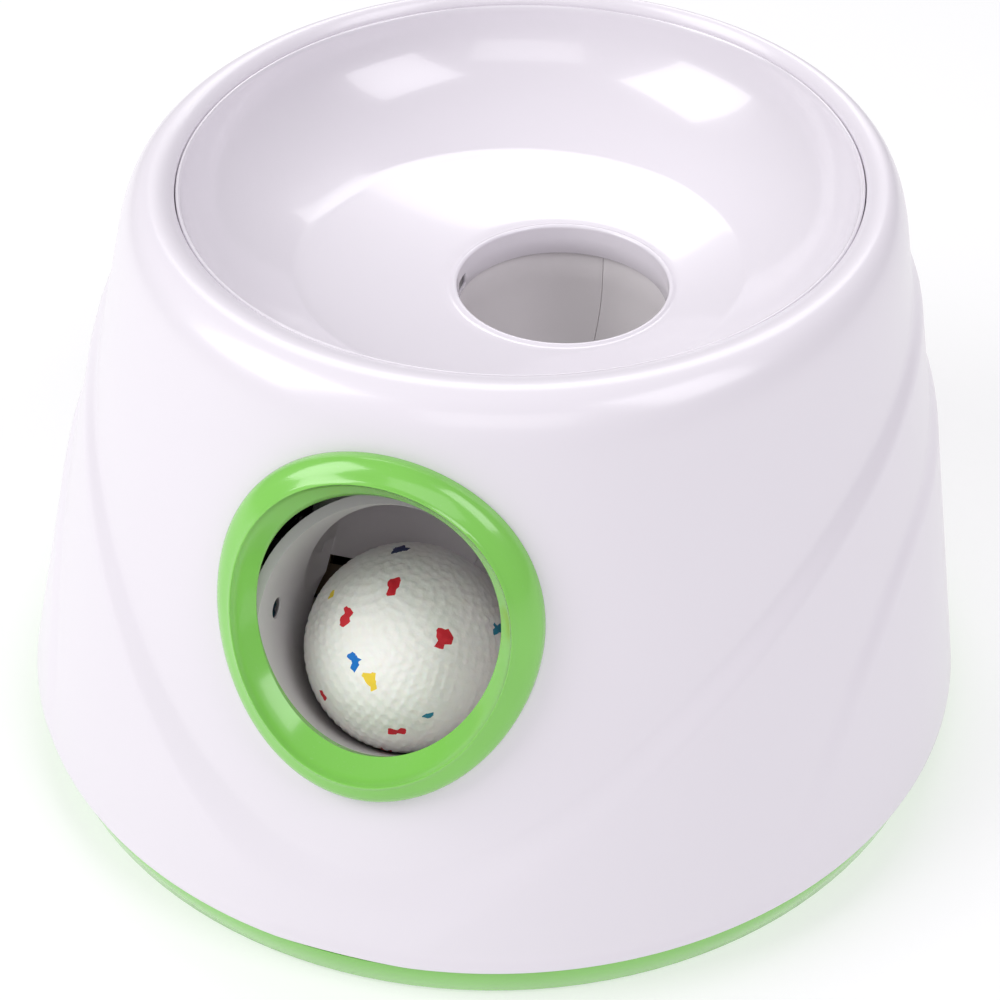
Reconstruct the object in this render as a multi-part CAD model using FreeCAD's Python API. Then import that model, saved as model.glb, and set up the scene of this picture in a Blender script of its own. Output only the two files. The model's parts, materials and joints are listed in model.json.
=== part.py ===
import FreeCAD
import Part

import math
import os

# Frame: millimetres, +Z up, origin on the floor under the middle of the round base.
# The launch port faces -Y. The drop bowl is on top.

# Driving sizes of the housing
base_radius = 125.0
foot_height = 1.5
shell_bottom_z = 11.6
rim_z = 145.0
shoulder_height = 8.0
shoulder_radius = 95.6
rim_roll = 6.1
lean = 0.138
shell_wall = 2.8
floor_thick = 2.5
tray_undercut = 3.5
tray_rim_step = 0.8
shoulder_z = rim_z - shoulder_height
rim_radius = shoulder_radius - rim_roll
tray_bottom_radius = base_radius - tray_undercut
tray_rim_radius = base_radius - tray_rim_step

# Radii of the three nested wall panels at the shell's bottom edge and at the shoulder
front_panel_stand = 2.0
side_panel_stand = 4.5
port_panel_radii = (tray_bottom_radius, shoulder_radius)
front_panel_radii = (tray_rim_radius, shoulder_radius + front_panel_stand)
side_panel_radii = (base_radius, shoulder_radius + side_panel_stand)

# The ball, which sets the barrel, the chute and the drop hole
ball_radius = 25.0
barrel_play = 3.5
chute_play = 3.3
hole_play = 2.0

# Top bowl
seam_width = 4.9
seam_drop = 5.3
bowl_set_back = 4.3
seam_gap = 0.5
bowl_thick = 2.5
bowl_depth = 31.7
bowl_knee_radius = 58.0
bowl_knee_rise = 5.0
bowl_flange = 3.2
hole_x = 12.0
hole_y = 21.0
collar_wall = 2.0
collar_depth = 8.0
seam_radius = rim_radius - seam_width
seam_z = rim_z - seam_drop
bowl_floor_z = seam_z - bowl_depth
bowl_knee_z = bowl_floor_z + bowl_knee_rise
hole_radius = ball_radius + hole_play

# Launch axis: port centre on the wall, barrel rising outwards at this angle
port_z = 88.0
barrel_rise_deg = 43.0
barrel_bore_radius = ball_radius + barrel_play
barrel_wall = 2.5
barrel_start = 8.0
barrel_end = 46.0
barrel_rim = 1.2
barrel_rim_length = 4.0

# Port bezel, an ellipse on the wall round the round barrel
bezel_side_width = 9.5
bezel_top_width = 12.5
bezel_half_width = barrel_bore_radius + bezel_side_width
bezel_half_height = barrel_bore_radius + bezel_top_width
bezel_proud = 6.0
bezel_skirt_inset = 3.2
bezel_depth = 6.0
bezel_lip_inset = 3.0
flare_growth = 7.2

# Drop chute
chute_bore_radius = ball_radius + chute_play
chute_wall = 2.5
chute_top_drop = 5.0
chute_top_z = bowl_floor_z - chute_top_drop
chute_drop_z = 91.0
chute_turn = (2.0, -46.0, 83.5)

# Striker and its spring
pad_face = 63.0
pad_thick = 3.0
striker_radius = 12.0
striker_front = 3.0
striker_length = 14.0
striker_wall = 1.8
guide_wall = 2.4
guide_start = 69.0
guide_end = 106.0
guide_seat = 2.5
spring_wire = 1.3
spring_turns = 8.5
spring_start_deg = 90.0

# Rack and gear train, with all gear axes along X
rack_x = (-39.5, -33.5)
rack_pitch_n = -5.0
rack_depth = 8.0
rack_front = 27.0
sector_module = 1.25
sector_teeth = 20
sector_tooth_count = 9
sector_station = 55.0
output_module = 1.0
output_teeth = 36
train_module = 0.8
train_teeth = 40
pinion_teeth = 12
train_step_deg = (10.0, -5.0, -5.0)
inner_plate_x = (-43.0, -41.0)
outer_plate_x = (-66.0, -64.0)
axle_radius = 1.5
output_axle_radius = 2.5
axle_end = 1.5
tooth_play = 0.16
centre_play = 0.12

# Motor
motor_radius = 13.9
motor_length = 38.0

# Batteries
cell_radius = 13.1
cell_length = 50.0
cell_rows = 3
box_wall = 2.0
box_front_y = 14.0

# Rear controls
panel_z = 58.0
panel_width = 46.0
panel_height = 24.0
panel_thick = 3.0

# Clearances
fit_gap = 0.3
running_gap = 0.05

V = FreeCAD.Vector
os.makedirs("parts", exist_ok=True)


def save(name, shape):
    solids = shape.Solids
    if len(solids) == 0:
        raise RuntimeError(name + " has no solid")
    out = solids[0] if len(solids) == 1 else Part.makeCompound(solids)
    out.exportStep("parts/" + name + ".step")
    print(name, len(solids), round(out.Volume, 1), out.isValid())


def cylinder(radius, length, start, direction=V(0, 0, 1)):
    return Part.makeCylinder(radius, length, start, direction)


def box(x0, x1, y0, y1, z0, z1):
    return Part.makeBox(x1 - x0, y1 - y0, z1 - z0, V(x0, y0, z0))


def fuse(shapes):
    shapes = list(shapes)
    return shapes[0].multiFuse(shapes[1:]).removeSplitter()


def turned(wire):
    """Solid of revolution about Z of a closed wire in the XZ plane."""
    body = Part.Face(wire).revolve(V(0, 0, 0), V(0, 0, 1), 360)
    if body.Volume < 0:
        body.reverse()
    return body


def revolve(points):
    """Solid of revolution about Z of a closed outline of (radius, z) corners."""
    return turned(Part.makePolygon([V(r, 0, z) for r, z in points + [points[0]]]))


def sheared(shape):
    """Lean the shape backwards: each height moves along +Y by its height over the shell's edge."""
    matrix = FreeCAD.Matrix()
    matrix.A23 = lean
    matrix.A24 = -lean * shell_bottom_z
    return shape.transformGeometry(matrix)


def lean_y(z):
    return lean * (z - shell_bottom_z)


def panel_radius(radii, z):
    share = (z - shell_bottom_z) / (shoulder_z - shell_bottom_z)
    return radii[0] + (radii[1] - radii[0]) * share


def wall_body(radii, offset, z0, z1):
    """Upright cone of one wall panel, moved in or out by offset."""
    low = panel_radius(radii, z0) + offset
    high = panel_radius(radii, z1) + offset
    return Part.makeCone(low, high, z1 - z0, V(0, 0, z0))


# The launch frame: s runs inwards and down the barrel from the port, n is square to it and up
rise = math.radians(barrel_rise_deg)
port_y = lean_y(port_z) - panel_radius(port_panel_radii, port_z)
inward = V(0, math.cos(rise), -math.sin(rise))
upward = V(0, math.sin(rise), math.cos(rise))
port = V(0, port_y, port_z)
launch_place = FreeCAD.Placement(port, FreeCAD.Rotation(V(1, 0, 0), 90.0 - barrel_rise_deg))


def at(s, n=0.0, x=0.0):
    return port + inward * s + upward * n + V(x, 0, 0)


def tube_along(radius, s0, s1, n=0.0, x=0.0):
    return cylinder(radius, s1 - s0, at(s0, n, x), inward)


def launch_box(x0, x1, n0, n1, s0, s1):
    """Block in the launch frame, whose own Z points out of the port."""
    block = box(x0, x1, n0, n1, -s1, -s0)
    block.Placement = launch_place
    return block


def rod(radius, start, end):
    return cylinder(radius, (end - start).Length, start, end - start)


# Base tray

tray_floor_z = foot_height + floor_thick
boss_inset = 15.0
boss_radius_on_tray = base_radius - boss_inset
boss_angles = (30, 75, 105, 150, 210, 270, 330)
foot_inset = 21.0
back_foot_inset = 16.0
foot_places = [(20, base_radius - foot_inset), (90, base_radius - back_foot_inset),
               (160, base_radius - foot_inset), (225, base_radius - foot_inset),
               (315, base_radius - foot_inset)]
foot_radius = 7.0
foot_recess = 1.1
screw_radius = 1.5
screw_head_radius = 2.9
screw_head_height = 1.6
small_screw_radius = 1.1
small_head_radius = 2.6
small_screw_bite = 6.0
small_screw_length = 6.5

box_width = 2 * cell_length + 3.0
box_depth = cell_rows * (2 * cell_radius + 0.6) + 0.8
box_back_y = box_front_y + box_depth
cell_lift = 0.5
box_top_z = tray_floor_z + cell_lift + 2 * cell_radius + cell_lift + box_wall
door_margin = 3.0
tray_lip_wall = 2.0
tray_lip_height = 7.0
tray_lip_radius = tray_rim_radius - shell_wall - 1.0 - fit_gap


def ring_place(angle, radius, z):
    a = math.radians(angle)
    return V(radius * math.cos(a), radius * math.sin(a), z)


def make_tray():
    lip_top = shell_bottom_z + tray_lip_height
    body = revolve([
        (0, foot_height), (tray_bottom_radius, foot_height),
        (tray_rim_radius, shell_bottom_z - fit_gap),
        (tray_lip_radius, shell_bottom_z - fit_gap),
        (tray_lip_radius, lip_top),
        (tray_lip_radius - tray_lip_wall, lip_top),
        (tray_lip_radius - tray_lip_wall, tray_floor_z), (0, tray_floor_z)])
    cuts = []
    posts = []
    for angle in boss_angles:
        spot = ring_place(angle, boss_radius_on_tray, foot_height - 1)
        cuts.append(cylinder(screw_radius + 0.2, 20, spot))
        cuts.append(cylinder(screw_head_radius + 0.2, 1 + screw_head_height + 0.2, spot))
    for angle, radius in foot_places:
        cuts.append(cylinder(foot_radius + 0.1, foot_height + foot_recess, ring_place(angle, radius, 0)))
    opening = box(-box_width / 2, box_width / 2, box_front_y, box_back_y, 0, tray_floor_z + 1)
    cuts.append(opening)
    door_seat = box(-box_width / 2 - door_margin, box_width / 2 + door_margin,
                    box_front_y - door_margin, box_back_y + door_margin,
                    foot_height - 1, foot_height + door_thick + 0.1)
    cuts.append(door_seat)
    for x, y in beeper_holes():
        cuts.append(cylinder(0.9, 6, V(x, y, 0)))
    for x, y, top in tray_posts():
        posts.append(cylinder(3.2, top - tray_floor_z + 1, V(x, y, tray_floor_z - 1)))
        cuts.append(cylinder(small_screw_radius, small_screw_bite, V(x, y, top - small_screw_bite)))
    for x, y in door_screw_places:
        posts.append(cylinder(door_post_radius, door_post_height, V(x, y, tray_floor_z - 0.5)))
        cuts.append(cylinder(small_screw_radius, door_screw_length + 0.5, V(x, y, foot_height)))
        cuts.append(door_tab(x, y, fit_gap, foot_height - 1, foot_height + door_thick + 0.1))
    for x, y in box_tab_places:
        cuts.append(cylinder(small_screw_radius, floor_thick, V(x, y, tray_floor_z - box_screw_bite)))
    body = fuse([body] + posts)
    return body.cut(Part.makeCompound(cuts))


door_thick = 1.5
door_screw_out = 4.0
door_screw_x = box_width / 2 + door_margin + door_screw_out
door_screw_places = ((-door_screw_x, box_front_y + 14.0), (-door_screw_x, box_back_y - 14.0),
                     (door_screw_x, box_front_y + 31.0), (door_screw_x, box_back_y - 14.0))
door_screw_length = 8.0
door_head_height = 1.2
door_post_radius = 3.4
door_post_height = 6.0
door_tab_radius = 4.2
box_tab_radius = 3.5
box_tab_thick = 2.0
box_screw_bite = 1.8
box_tab_x = box_width / 2 + box_wall + box_tab_radius
box_tab_y = (box_front_y + 4.0, box_back_y - 4.0)
box_tab_places = [(x, y) for x in (-box_tab_x, box_tab_x) for y in box_tab_y]


def door_tab(x, y, grow, z0, z1):
    """Round-ended tab from the battery door's side to one of its screws."""
    radius = door_tab_radius + grow
    edge = box_width / 2 + door_margin - 1.0
    low, high = (x, -edge) if x < 0 else (edge, x)
    return cylinder(radius, z1 - z0, V(x, y, z0)).fuse(box(low, high, y - radius, y + radius, z0, z1))


def make_door():
    gap = 0.2
    low = foot_height
    plate = box(-box_width / 2 - door_margin + gap, box_width / 2 + door_margin - gap,
                box_front_y - door_margin + gap, box_back_y + door_margin - gap,
                low, low + door_thick)
    ribs = [box(-box_width / 2 + 6, box_width / 2 - 6, y - 0.8, y + 0.8, low + door_thick - 0.1,
                low + door_thick + 0.8)
            for y in (box_front_y + box_depth / 3, box_front_y + 2 * box_depth / 3)]
    tabs = [door_tab(x, y, 0.0, low, low + door_thick) for x, y in door_screw_places]
    body = fuse([plate] + ribs + tabs)
    for x, y in door_screw_places:
        body = body.cut(cylinder(small_screw_radius + 0.2, door_thick + 2, V(x, y, low - 1)))
    return body


beeper_x = 58.0
beeper_y = -72.0
beeper_radius = 13.0
beeper_height = 7.5


def beeper_holes():
    spots = [(beeper_x, beeper_y)]
    for i in range(6):
        a = math.radians(60 * i)
        spots.append((beeper_x + 6 * math.cos(a), beeper_y + 6 * math.sin(a)))
    return spots


board_z = 20.0
board_thick = 1.6
board_x = (58.0, 100.0)
board_y = (-42.0, 36.0)
board_hole_inset = 4.0


def board_holes():
    xs = (board_x[0] + board_hole_inset, board_x[1] - board_hole_inset)
    ys = (board_y[0] + board_hole_inset, board_y[1] - board_hole_inset)
    return [(x, y) for x in xs for y in ys]


# The gearbox stands on four tray posts, and the launch cradle on two
gear_foot_z = 12.0
gear_foot_thick = 2.0
gear_feet = ((-54.0, -49.0), (-54.0, -10.0))
cradle_foot_x = 24.0


def tray_posts():
    posts = [(x, y, board_z) for x, y in board_holes()]
    posts += [(x, y, gear_foot_z) for x, y in gear_feet]
    posts += [(x, cradle_foot_y, cradle_foot_z) for x in (-cradle_foot_x, cradle_foot_x)]
    return posts


# Outer shell

def ledge_region(arc_points, back_point, front_point):
    """Block across the whole width whose top follows a swept line seen from the side."""
    a, b, c = [V(-150, y, z) for y, z in arc_points]
    top_back = V(-150, back_point[0], back_point[1])
    front = V(-150, front_point[0], front_point[1])
    floor_back = V(-150, back_point[0], front_point[1])
    edges = [Part.makeLine(top_back, a), Part.Arc(a, b, c).toShape(),
             Part.makeLine(c, front), Part.makeLine(front, floor_back),
             Part.makeLine(floor_back, top_back)]
    return Part.Face(Part.Wire(edges)).extrude(V(300, 0, 0))


# Swept lines seen from the side, as (y, z) before the lean: three points of the arc that falls
# towards the port, the end at the back and the end in front
upper_ledge = ((10.0, 121.0), (-65.0, 84.0), (-116.0, 35.0))
upper_ledge_back = (130.0, 133.0)
upper_ledge_front = (-150.0, -20.0)
lower_ledge = ((-8.0, 81.0), (-54.0, 56.0), (-80.0, 6.0))
lower_ledge_back = (130.0, 99.0)
lower_ledge_front = (-84.0, -20.0)


def shell_outline():
    """Upright outer body before the lean: port panel, then the two panels that stand out."""
    base = wall_body(port_panel_radii, 0, shell_bottom_z, shoulder_z)
    front = wall_body(front_panel_radii, 0, shell_bottom_z, shoulder_z - 1)
    side = wall_body(side_panel_radii, 0, shell_bottom_z, shoulder_z - 1)
    front = front.common(ledge_region(upper_ledge, upper_ledge_back, upper_ledge_front))
    side = side.common(ledge_region(lower_ledge, lower_ledge_back, lower_ledge_front))
    cap = revolve([(0, shoulder_z), (shoulder_radius, shoulder_z), (shoulder_radius - 0.9, rim_z - 3.4),
                   (shoulder_radius - 3.2, rim_z - 0.8), (rim_radius, rim_z), (rim_radius - 2.5, rim_z - 1.6),
                   (0, rim_z - 1.6)])
    foot_band = Part.makeCone(base_radius, panel_radius(front_panel_radii, shell_bottom_z + 3),
                              3.0, V(0, 0, shell_bottom_z))
    return fuse([base, front, side, cap, foot_band])


boss_height = 22.0
boss_wall_radius = 4.2


def shell_inside(depth, low):
    """Body that lies inside the three wall panels by depth, before the lean."""
    top = seam_z - bowl_thick
    base = wall_body(port_panel_radii, -depth, low, top)
    front = wall_body(front_panel_radii, -depth, low, top - 4.0)
    side = wall_body(side_panel_radii, -depth, low, top - 4.0)
    step = V(0, 1.2 * depth, -depth)
    upper = ledge_region(upper_ledge, upper_ledge_back, upper_ledge_front).translated(step)
    lower = ledge_region(lower_ledge, lower_ledge_back, lower_ledge_front).translated(step)
    return fuse([base, front.common(upper), side.common(lower)])


def make_shell():
    mouth = cylinder(seam_radius + seam_gap, 40, V(0, bowl_set_back, seam_z - bowl_thick - 5))
    slope = Part.makeCone(seam_radius + seam_gap, rim_radius - 1.2, rim_z - seam_z, V(0, bowl_set_back, seam_z))
    cavity = shell_inside(shell_wall, shell_bottom_z - 0.01)
    body = sheared(shell_outline().cut(cavity).cut(mouth).cut(slope))
    rabbet = cylinder(tray_lip_radius + fit_gap, tray_lip_height + fit_gap + 1,
                      V(0, 0, shell_bottom_z - 1))
    body = body.cut(rabbet)
    bosses = []
    web_low = shell_bottom_z + tray_lip_height + fit_gap
    for angle in boss_angles:
        spot = ring_place(angle, boss_radius_on_tray, tray_floor_z + fit_gap)
        bosses.append(cylinder(boss_wall_radius, boss_height, spot))
        web = box(boss_radius_on_tray, base_radius - 3.0, -1.0, 1.0, web_low, tray_floor_z + boss_height)
        web.rotate(V(0, 0, 0), V(0, 0, 1), angle)
        bosses.append(web)
    inside = sheared(shell_inside(1.0, tray_floor_z))
    bosses = fuse(bosses).common(inside)
    body = fuse([body, bosses])
    holes = [cylinder(1.2, boss_height - 3, ring_place(a, boss_radius_on_tray, tray_floor_z))
             for a in boss_angles]
    body = body.cut(Part.makeCompound(holes))
    body = body.cut(port_prism(bezel_skirt_inset - fit_gap))
    body = body.cut(panel_block(panel_width + 2 * fit_gap, panel_height + 2 * fit_gap, -12.0, 12.0))
    return body


# Port bezel

wall_tilt = math.atan(lean + (port_panel_radii[0] - port_panel_radii[1]) / (shoulder_z - shell_bottom_z))
wall_normal = V(0, -math.cos(wall_tilt), math.sin(wall_tilt))
wall_up = V(0, math.sin(wall_tilt), math.cos(wall_tilt))


def ellipse_wire(centre, half_width, half_height):
    major = centre + wall_up * half_height
    minor = centre + V(half_width, 0, 0)
    return Part.Wire(Part.Ellipse(major, minor, centre).toShape())


def port_prism(inset, near=-22.0, far=30.0):
    """Elliptical block through the port, square to the wall."""
    start = port + wall_normal * near
    wire = ellipse_wire(start, bezel_half_width - inset, bezel_half_height - inset)
    return Part.Face(wire).extrude(wall_normal * (far - near))


def wall_solid(offset):
    return sheared(wall_body(port_panel_radii, offset, 30.0, shoulder_z))


def port_flare():
    """Cone-like opening that narrows from the bezel's crest to the barrel's bore."""
    stretch = 1.0 / math.cos(rise - wall_tilt)
    bore = barrel_bore_radius
    sections = []
    for level, grow in ((-1.0, 0.0), (bezel_proud + 6.0, flare_growth)):
        centre = port + wall_normal * level
        sections.append(ellipse_wire(centre, bore + grow, bore * stretch + grow))
    return Part.makeLoft(sections, True, True)


def make_bezel():
    shells = wall_solid(bezel_proud).cut(wall_solid(fit_gap / 2))
    flange = shells.common(port_prism(0.0))
    bevel = wall_solid(bezel_proud + 1).cut(wall_solid(bezel_proud - 2.2))
    bevel = bevel.cut(port_prism(bezel_lip_inset))
    flange = flange.cut(bevel)
    skirt = wall_solid(1.0).cut(wall_solid(-bezel_depth)).common(port_prism(bezel_skirt_inset))
    body = fuse([flange, skirt])
    socket = tube_along(barrel_bore_radius + barrel_wall + fit_gap / 2, barrel_start - 0.2, 40.0)
    return body.cut(port_flare()).cut(tube_along(barrel_bore_radius, -25, 40)).cut(socket)


# Barrel and chute

chute_start = V(hole_x, hole_y, chute_drop_z)
chute_turn_point = V(*chute_turn)
ball_station = pad_face - fit_gap - ball_radius
ball_n = -(barrel_bore_radius - ball_radius) + fit_gap
ball_centre = at(ball_station, ball_n)
chute_end = at(ball_station)


def chute_run(radius):
    pieces = [cylinder(radius, 60, chute_start), Part.makeSphere(radius, chute_start),
              rod(radius, chute_start, chute_turn_point), Part.makeSphere(radius, chute_turn_point),
              rod(radius, chute_turn_point, chute_end)]
    return fuse(pieces)


sensor_station = 20.0
sensor_radius = 2.5


def make_barrel():
    outer_radius = barrel_bore_radius + barrel_wall
    body = tube_along(outer_radius, barrel_start, barrel_end)
    collar = tube_along(outer_radius + barrel_rim, barrel_end - barrel_rim_length, barrel_end)
    body = fuse([body, collar])
    body = body.cut(tube_along(barrel_bore_radius, -5, barrel_end + 5))
    body = body.cut(chute_run(chute_bore_radius))
    body = body.cut(cylinder(sensor_radius + 0.1, 100, at(sensor_station, 0, -50), V(1, 0, 0)))
    return body


def make_chute():
    outer = chute_run(chute_bore_radius + chute_wall)
    body = outer.cut(chute_run(chute_bore_radius))
    body = body.cut(box(-100, 100, -120, 100, chute_top_z, 200))
    collar_low = bowl_floor_z - collar_depth - fit_gap
    body = body.cut(cylinder(hole_radius + collar_wall + fit_gap, 20, V(hole_x, hole_y, collar_low)))
    outside = barrel_bore_radius + barrel_wall + fit_gap / 2
    body = body.cut(tube_along(outside, -40, barrel_end + fit_gap))
    body = body.cut(tube_along(outside + barrel_rim, barrel_end - barrel_rim_length - fit_gap,
                               barrel_end + fit_gap))
    cradle_top = striker_radius + running_gap + guide_wall
    return body.cut(launch_box(-50, 50, -50, cradle_top + fit_gap, barrel_end, 120.0))


def biggest(shape):
    return max(shape.Solids, key=lambda solid: solid.Volume)


def split_chute(body, side):
    """One half of the chute, left (-1) or right (+1) of the upright plane along its run."""
    along = chute_start - chute_end
    heading = math.degrees(math.atan2(along.y, along.x))
    half = Part.makeBox(300, 100, 200, V(-150, fit_gap / 4 if side < 0 else -100 - fit_gap / 4, 0))
    half.rotate(V(0, 0, 0), V(0, 0, 1), heading)
    half.translate(V(chute_end.x, chute_end.y, 0))
    return biggest(body.common(half))


# Bowl

def make_bowl():
    """Dish with a flange that bears on the underside of the shell's rim, and the hole's collar."""
    flange_top = seam_z - bowl_thick - fit_gap
    flange_low = flange_top - bowl_thick
    centre_top = V(0, 0, bowl_floor_z)
    knee_top = V(bowl_knee_radius, 0, bowl_knee_z)
    lip_in = V(seam_radius - 2.0, 0, seam_z)
    lip_out = V(seam_radius, 0, seam_z)
    wall_out = V(seam_radius - 0.8, 0, flange_low)
    knee_under = V(bowl_knee_radius, 0, bowl_knee_z - bowl_thick)
    centre_under = V(0, 0, bowl_floor_z - bowl_thick)
    edges = [Part.makeLine(centre_top, knee_top),
             Part.Arc(knee_top, V(seam_radius - 7.5, 0, seam_z - 15.5), lip_in).toShape()]
    edges += Part.makePolygon([lip_in, lip_out, V(seam_radius, 0, flange_top),
                               V(seam_radius + bowl_flange, 0, flange_top),
                               V(seam_radius + bowl_flange, 0, flange_low), wall_out]).Edges
    edges += [Part.Arc(wall_out, V(seam_radius - 5.9, 0, seam_z - 17.5), knee_under).toShape()]
    edges += Part.makePolygon([knee_under, centre_under, centre_top]).Edges
    body = turned(Part.Wire(edges))
    body.translate(V(0, lean_y(seam_z) + bowl_set_back, 0))
    collar = cylinder(hole_radius + collar_wall, collar_depth + 1.0, V(hole_x, hole_y, bowl_floor_z - collar_depth))
    body = fuse([body, collar])
    body = body.cut(cylinder(hole_radius, 60, V(hole_x, hole_y, bowl_floor_z - 40)))
    window = box(hole_x - hole_radius - 6, hole_x - hole_radius + 6, hole_y - 2.6, hole_y + 2.6,
                 bowl_floor_z - 6.4, bowl_floor_z - 3.4)
    return body.cut(window)


def make_drop_lens():
    gap = 0.1
    face = hole_x - hole_radius - fit_gap
    return box(face - collar_wall + 0.2, face, hole_y - 2.6 + gap, hole_y + 2.6 - gap,
               bowl_floor_z - 6.4 + gap, bowl_floor_z - 3.4 - gap)


# Ball

def make_ball():
    return Part.makeSphere(ball_radius, ball_centre)


# Striker, spring and guide

cradle_plate = 2.4
cradle_half_width = 33.0
cradle_left = inner_plate_x[1] + 0.4
cradle_foot_z = 14.0
cradle_leg_n = (cradle_foot_z - at(guide_start).z) / upward.z
cradle_foot_reach = 8.0
cradle_foot_y = at(guide_start + cradle_plate, cradle_leg_n).y + cradle_foot_reach


def make_striker():
    front = pad_face + pad_thick
    body = tube_along(striker_radius, front, front + striker_length)
    body = body.cut(tube_along(striker_radius - striker_wall, front + striker_front, front + 40))
    arm_start = front + striker_length - 7.0
    rack_low = rack_pitch_n + 1.2 * sector_module
    arm = launch_box(rack_x[0], -striker_radius + 1.2, rack_low, rack_pitch_n + rack_depth - 0.6,
                     arm_start, arm_start + 6.0)
    rack = launch_box(rack_x[0], rack_x[1], rack_low, rack_pitch_n + rack_depth,
                      rack_front, arm_start + 6.0)
    teeth = [rack_tooth(station) for station in rack_stations()]
    return fuse([body, arm, rack] + teeth)


def rack_stations():
    pitch = math.pi * sector_module
    first = sector_station + pitch / 2
    count_back = int((arm_limit() - first) // pitch)
    stations = []
    i = count_back
    while first + i * pitch > rack_front + 2.5:
        stations.append(first + i * pitch)
        i -= 1
    return stations


def arm_limit():
    return pad_face + pad_thick + striker_length - 4.0


def rack_tooth(station):
    """Straight-sided rack tooth that points down from the rack, in the launch frame."""
    half_pitch = math.pi * sector_module / 4 - tooth_play / 2
    slope = math.tan(math.radians(20))
    high = sector_module * 1.3
    tip = half_pitch - slope * sector_module * 0.95
    low = rack_pitch_n - sector_module * 0.95
    wide = half_pitch + slope * high
    points = [(station - wide, rack_pitch_n + high), (station + wide, rack_pitch_n + high),
              (station + tip, low), (station - tip, low)]
    wire = Part.makePolygon([V(rack_x[0], n, -s) for s, n in points + [points[0]]])
    tooth = Part.Face(wire).extrude(V(rack_x[1] - rack_x[0], 0, 0))
    tooth.Placement = launch_place
    return tooth


def make_pad():
    return tube_along(striker_radius - 1.0, pad_face, pad_face + pad_thick)


def make_cradle():
    tube_radius = striker_radius + running_gap + guide_wall
    tube = tube_along(tube_radius, guide_start, guide_end + guide_seat)
    plate_end = guide_start + cradle_plate
    plate = launch_box(cradle_left, cradle_half_width, -20.0, striker_radius + 0.5, guide_start, plate_end)
    ear = launch_box(cradle_left, -cradle_half_width, 0, 22.0, guide_start, plate_end)
    ear = ear.cut(launch_box(cradle_left + 1.8, -cradle_half_width - 1.8, 13.0, 18.5,
                             guide_start - 1, plate_end + 1))
    ribs = [launch_box(x - 1.2, x + 1.2, -16.0, 0.0, guide_start, guide_end - 14)
            for x in (-striker_radius - 1.0, striker_radius + 1.0)]
    feet = []
    leg_y = at(guide_start, cradle_leg_n).y
    for x in (-cradle_foot_x, cradle_foot_x):
        feet.append(box(x - 5, x + 5, leg_y, cradle_foot_y + 4.5, cradle_foot_z, cradle_foot_z + cradle_plate))
        feet.append(launch_box(x - 5, x + 5, cradle_leg_n, -18.0, guide_start, plate_end))
    body = fuse([tube, plate, ear] + ribs + feet)
    body = body.cut(tube_along(striker_radius + running_gap, guide_start - 5, guide_end))
    slot = launch_box(-60, 0, rack_pitch_n - 2.6, rack_pitch_n + rack_depth + 1.2,
                      guide_start - 5, guide_end - 1.0)
    body = body.cut(slot)
    body = body.cut(box(-60, 60, -100, 50, -20, tray_floor_z + fit_gap))
    for x in (-cradle_foot_x, cradle_foot_x):
        body = body.cut(cylinder(screw_radius + 0.1, 40, V(x, cradle_foot_y, cradle_foot_z - 2)))
    return body


def make_spring():
    """Compression spring between the striker's front wall and the guide's end wall."""
    start = pad_face + pad_thick + striker_front + 0.1
    length = guide_end - 0.1 - start - spring_wire
    radius = striker_radius - striker_wall - 0.5 - spring_wire / 2
    pitch = length / spring_turns
    helix = Part.makeHelix(pitch, length, radius)
    profile = Part.Wire(Part.makeCircle(spring_wire / 2, V(radius, 0, 0), V(0, 1, 0)))
    coil = Part.Wire(helix).makePipeShell([profile], True, True)
    coil.Placement = launch_place.multiply(
        FreeCAD.Placement(V(0, 0, -(start + length + spring_wire / 2)),
                          FreeCAD.Rotation(V(0, 0, 1), spring_start_deg)))
    return coil


# Gears

def involute_gear(module, teeth, x0, x1, centre, turn_deg, bore, keep=None, hub=0.0):
    """Spur gear with its axis along X. The first tooth points along turn_deg in the YZ plane."""
    pitch_radius = module * teeth / 2
    base_circle = pitch_radius * math.cos(math.radians(20))
    tip_radius = pitch_radius + module * 0.95
    root_radius = pitch_radius - module * 1.25
    half_thick = math.pi / (2 * teeth) - tooth_play / 2 / pitch_radius
    involute_at_pitch = math.tan(math.radians(20)) - math.radians(20)

    def flank_angle(radius):
        if radius <= base_circle:
            roll = 0.0
        else:
            pressure = math.acos(base_circle / radius)
            roll = math.tan(pressure) - pressure
        return half_thick + involute_at_pitch - roll

    levels = [max(root_radius, base_circle) + (tip_radius - max(root_radius, base_circle)) * t
              for t in (0.0, 0.33, 0.66, 1.0)]
    blanks = [cylinder(root_radius + 0.01, x1 - x0, V(x0, centre[0], centre[1]), V(1, 0, 0))]
    if hub > 0:
        blanks = [cylinder(hub, x1 - x0, V(x0, centre[0], centre[1]), V(1, 0, 0))]
    wanted = range(teeth) if keep is None else keep
    for i in wanted:
        mid = math.radians(turn_deg) + 2 * math.pi * i / teeth
        outline = [(root_radius - 0.6, flank_angle(levels[0]))]
        outline += [(radius, flank_angle(radius)) for radius in levels]
        left = [(radius, mid - angle) for radius, angle in outline]
        right = [(radius, mid + angle) for radius, angle in reversed(outline)]
        points = [V(x0, centre[0] + r * math.cos(a), centre[1] + r * math.sin(a)) for r, a in left + right]
        wire = Part.makePolygon(points + [points[0]])
        blanks.append(Part.Face(wire).extrude(V(x1 - x0, 0, 0)))
    body = fuse(blanks)
    if bore > 0:
        body = body.cut(cylinder(bore, x1 - x0 + 2, V(x0 - 1, centre[0], centre[1]), V(1, 0, 0)))
    return body


def step_from(centre, distance, degrees):
    a = math.radians(degrees)
    return (centre[0] + distance * math.cos(a), centre[1] + distance * math.sin(a))


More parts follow.
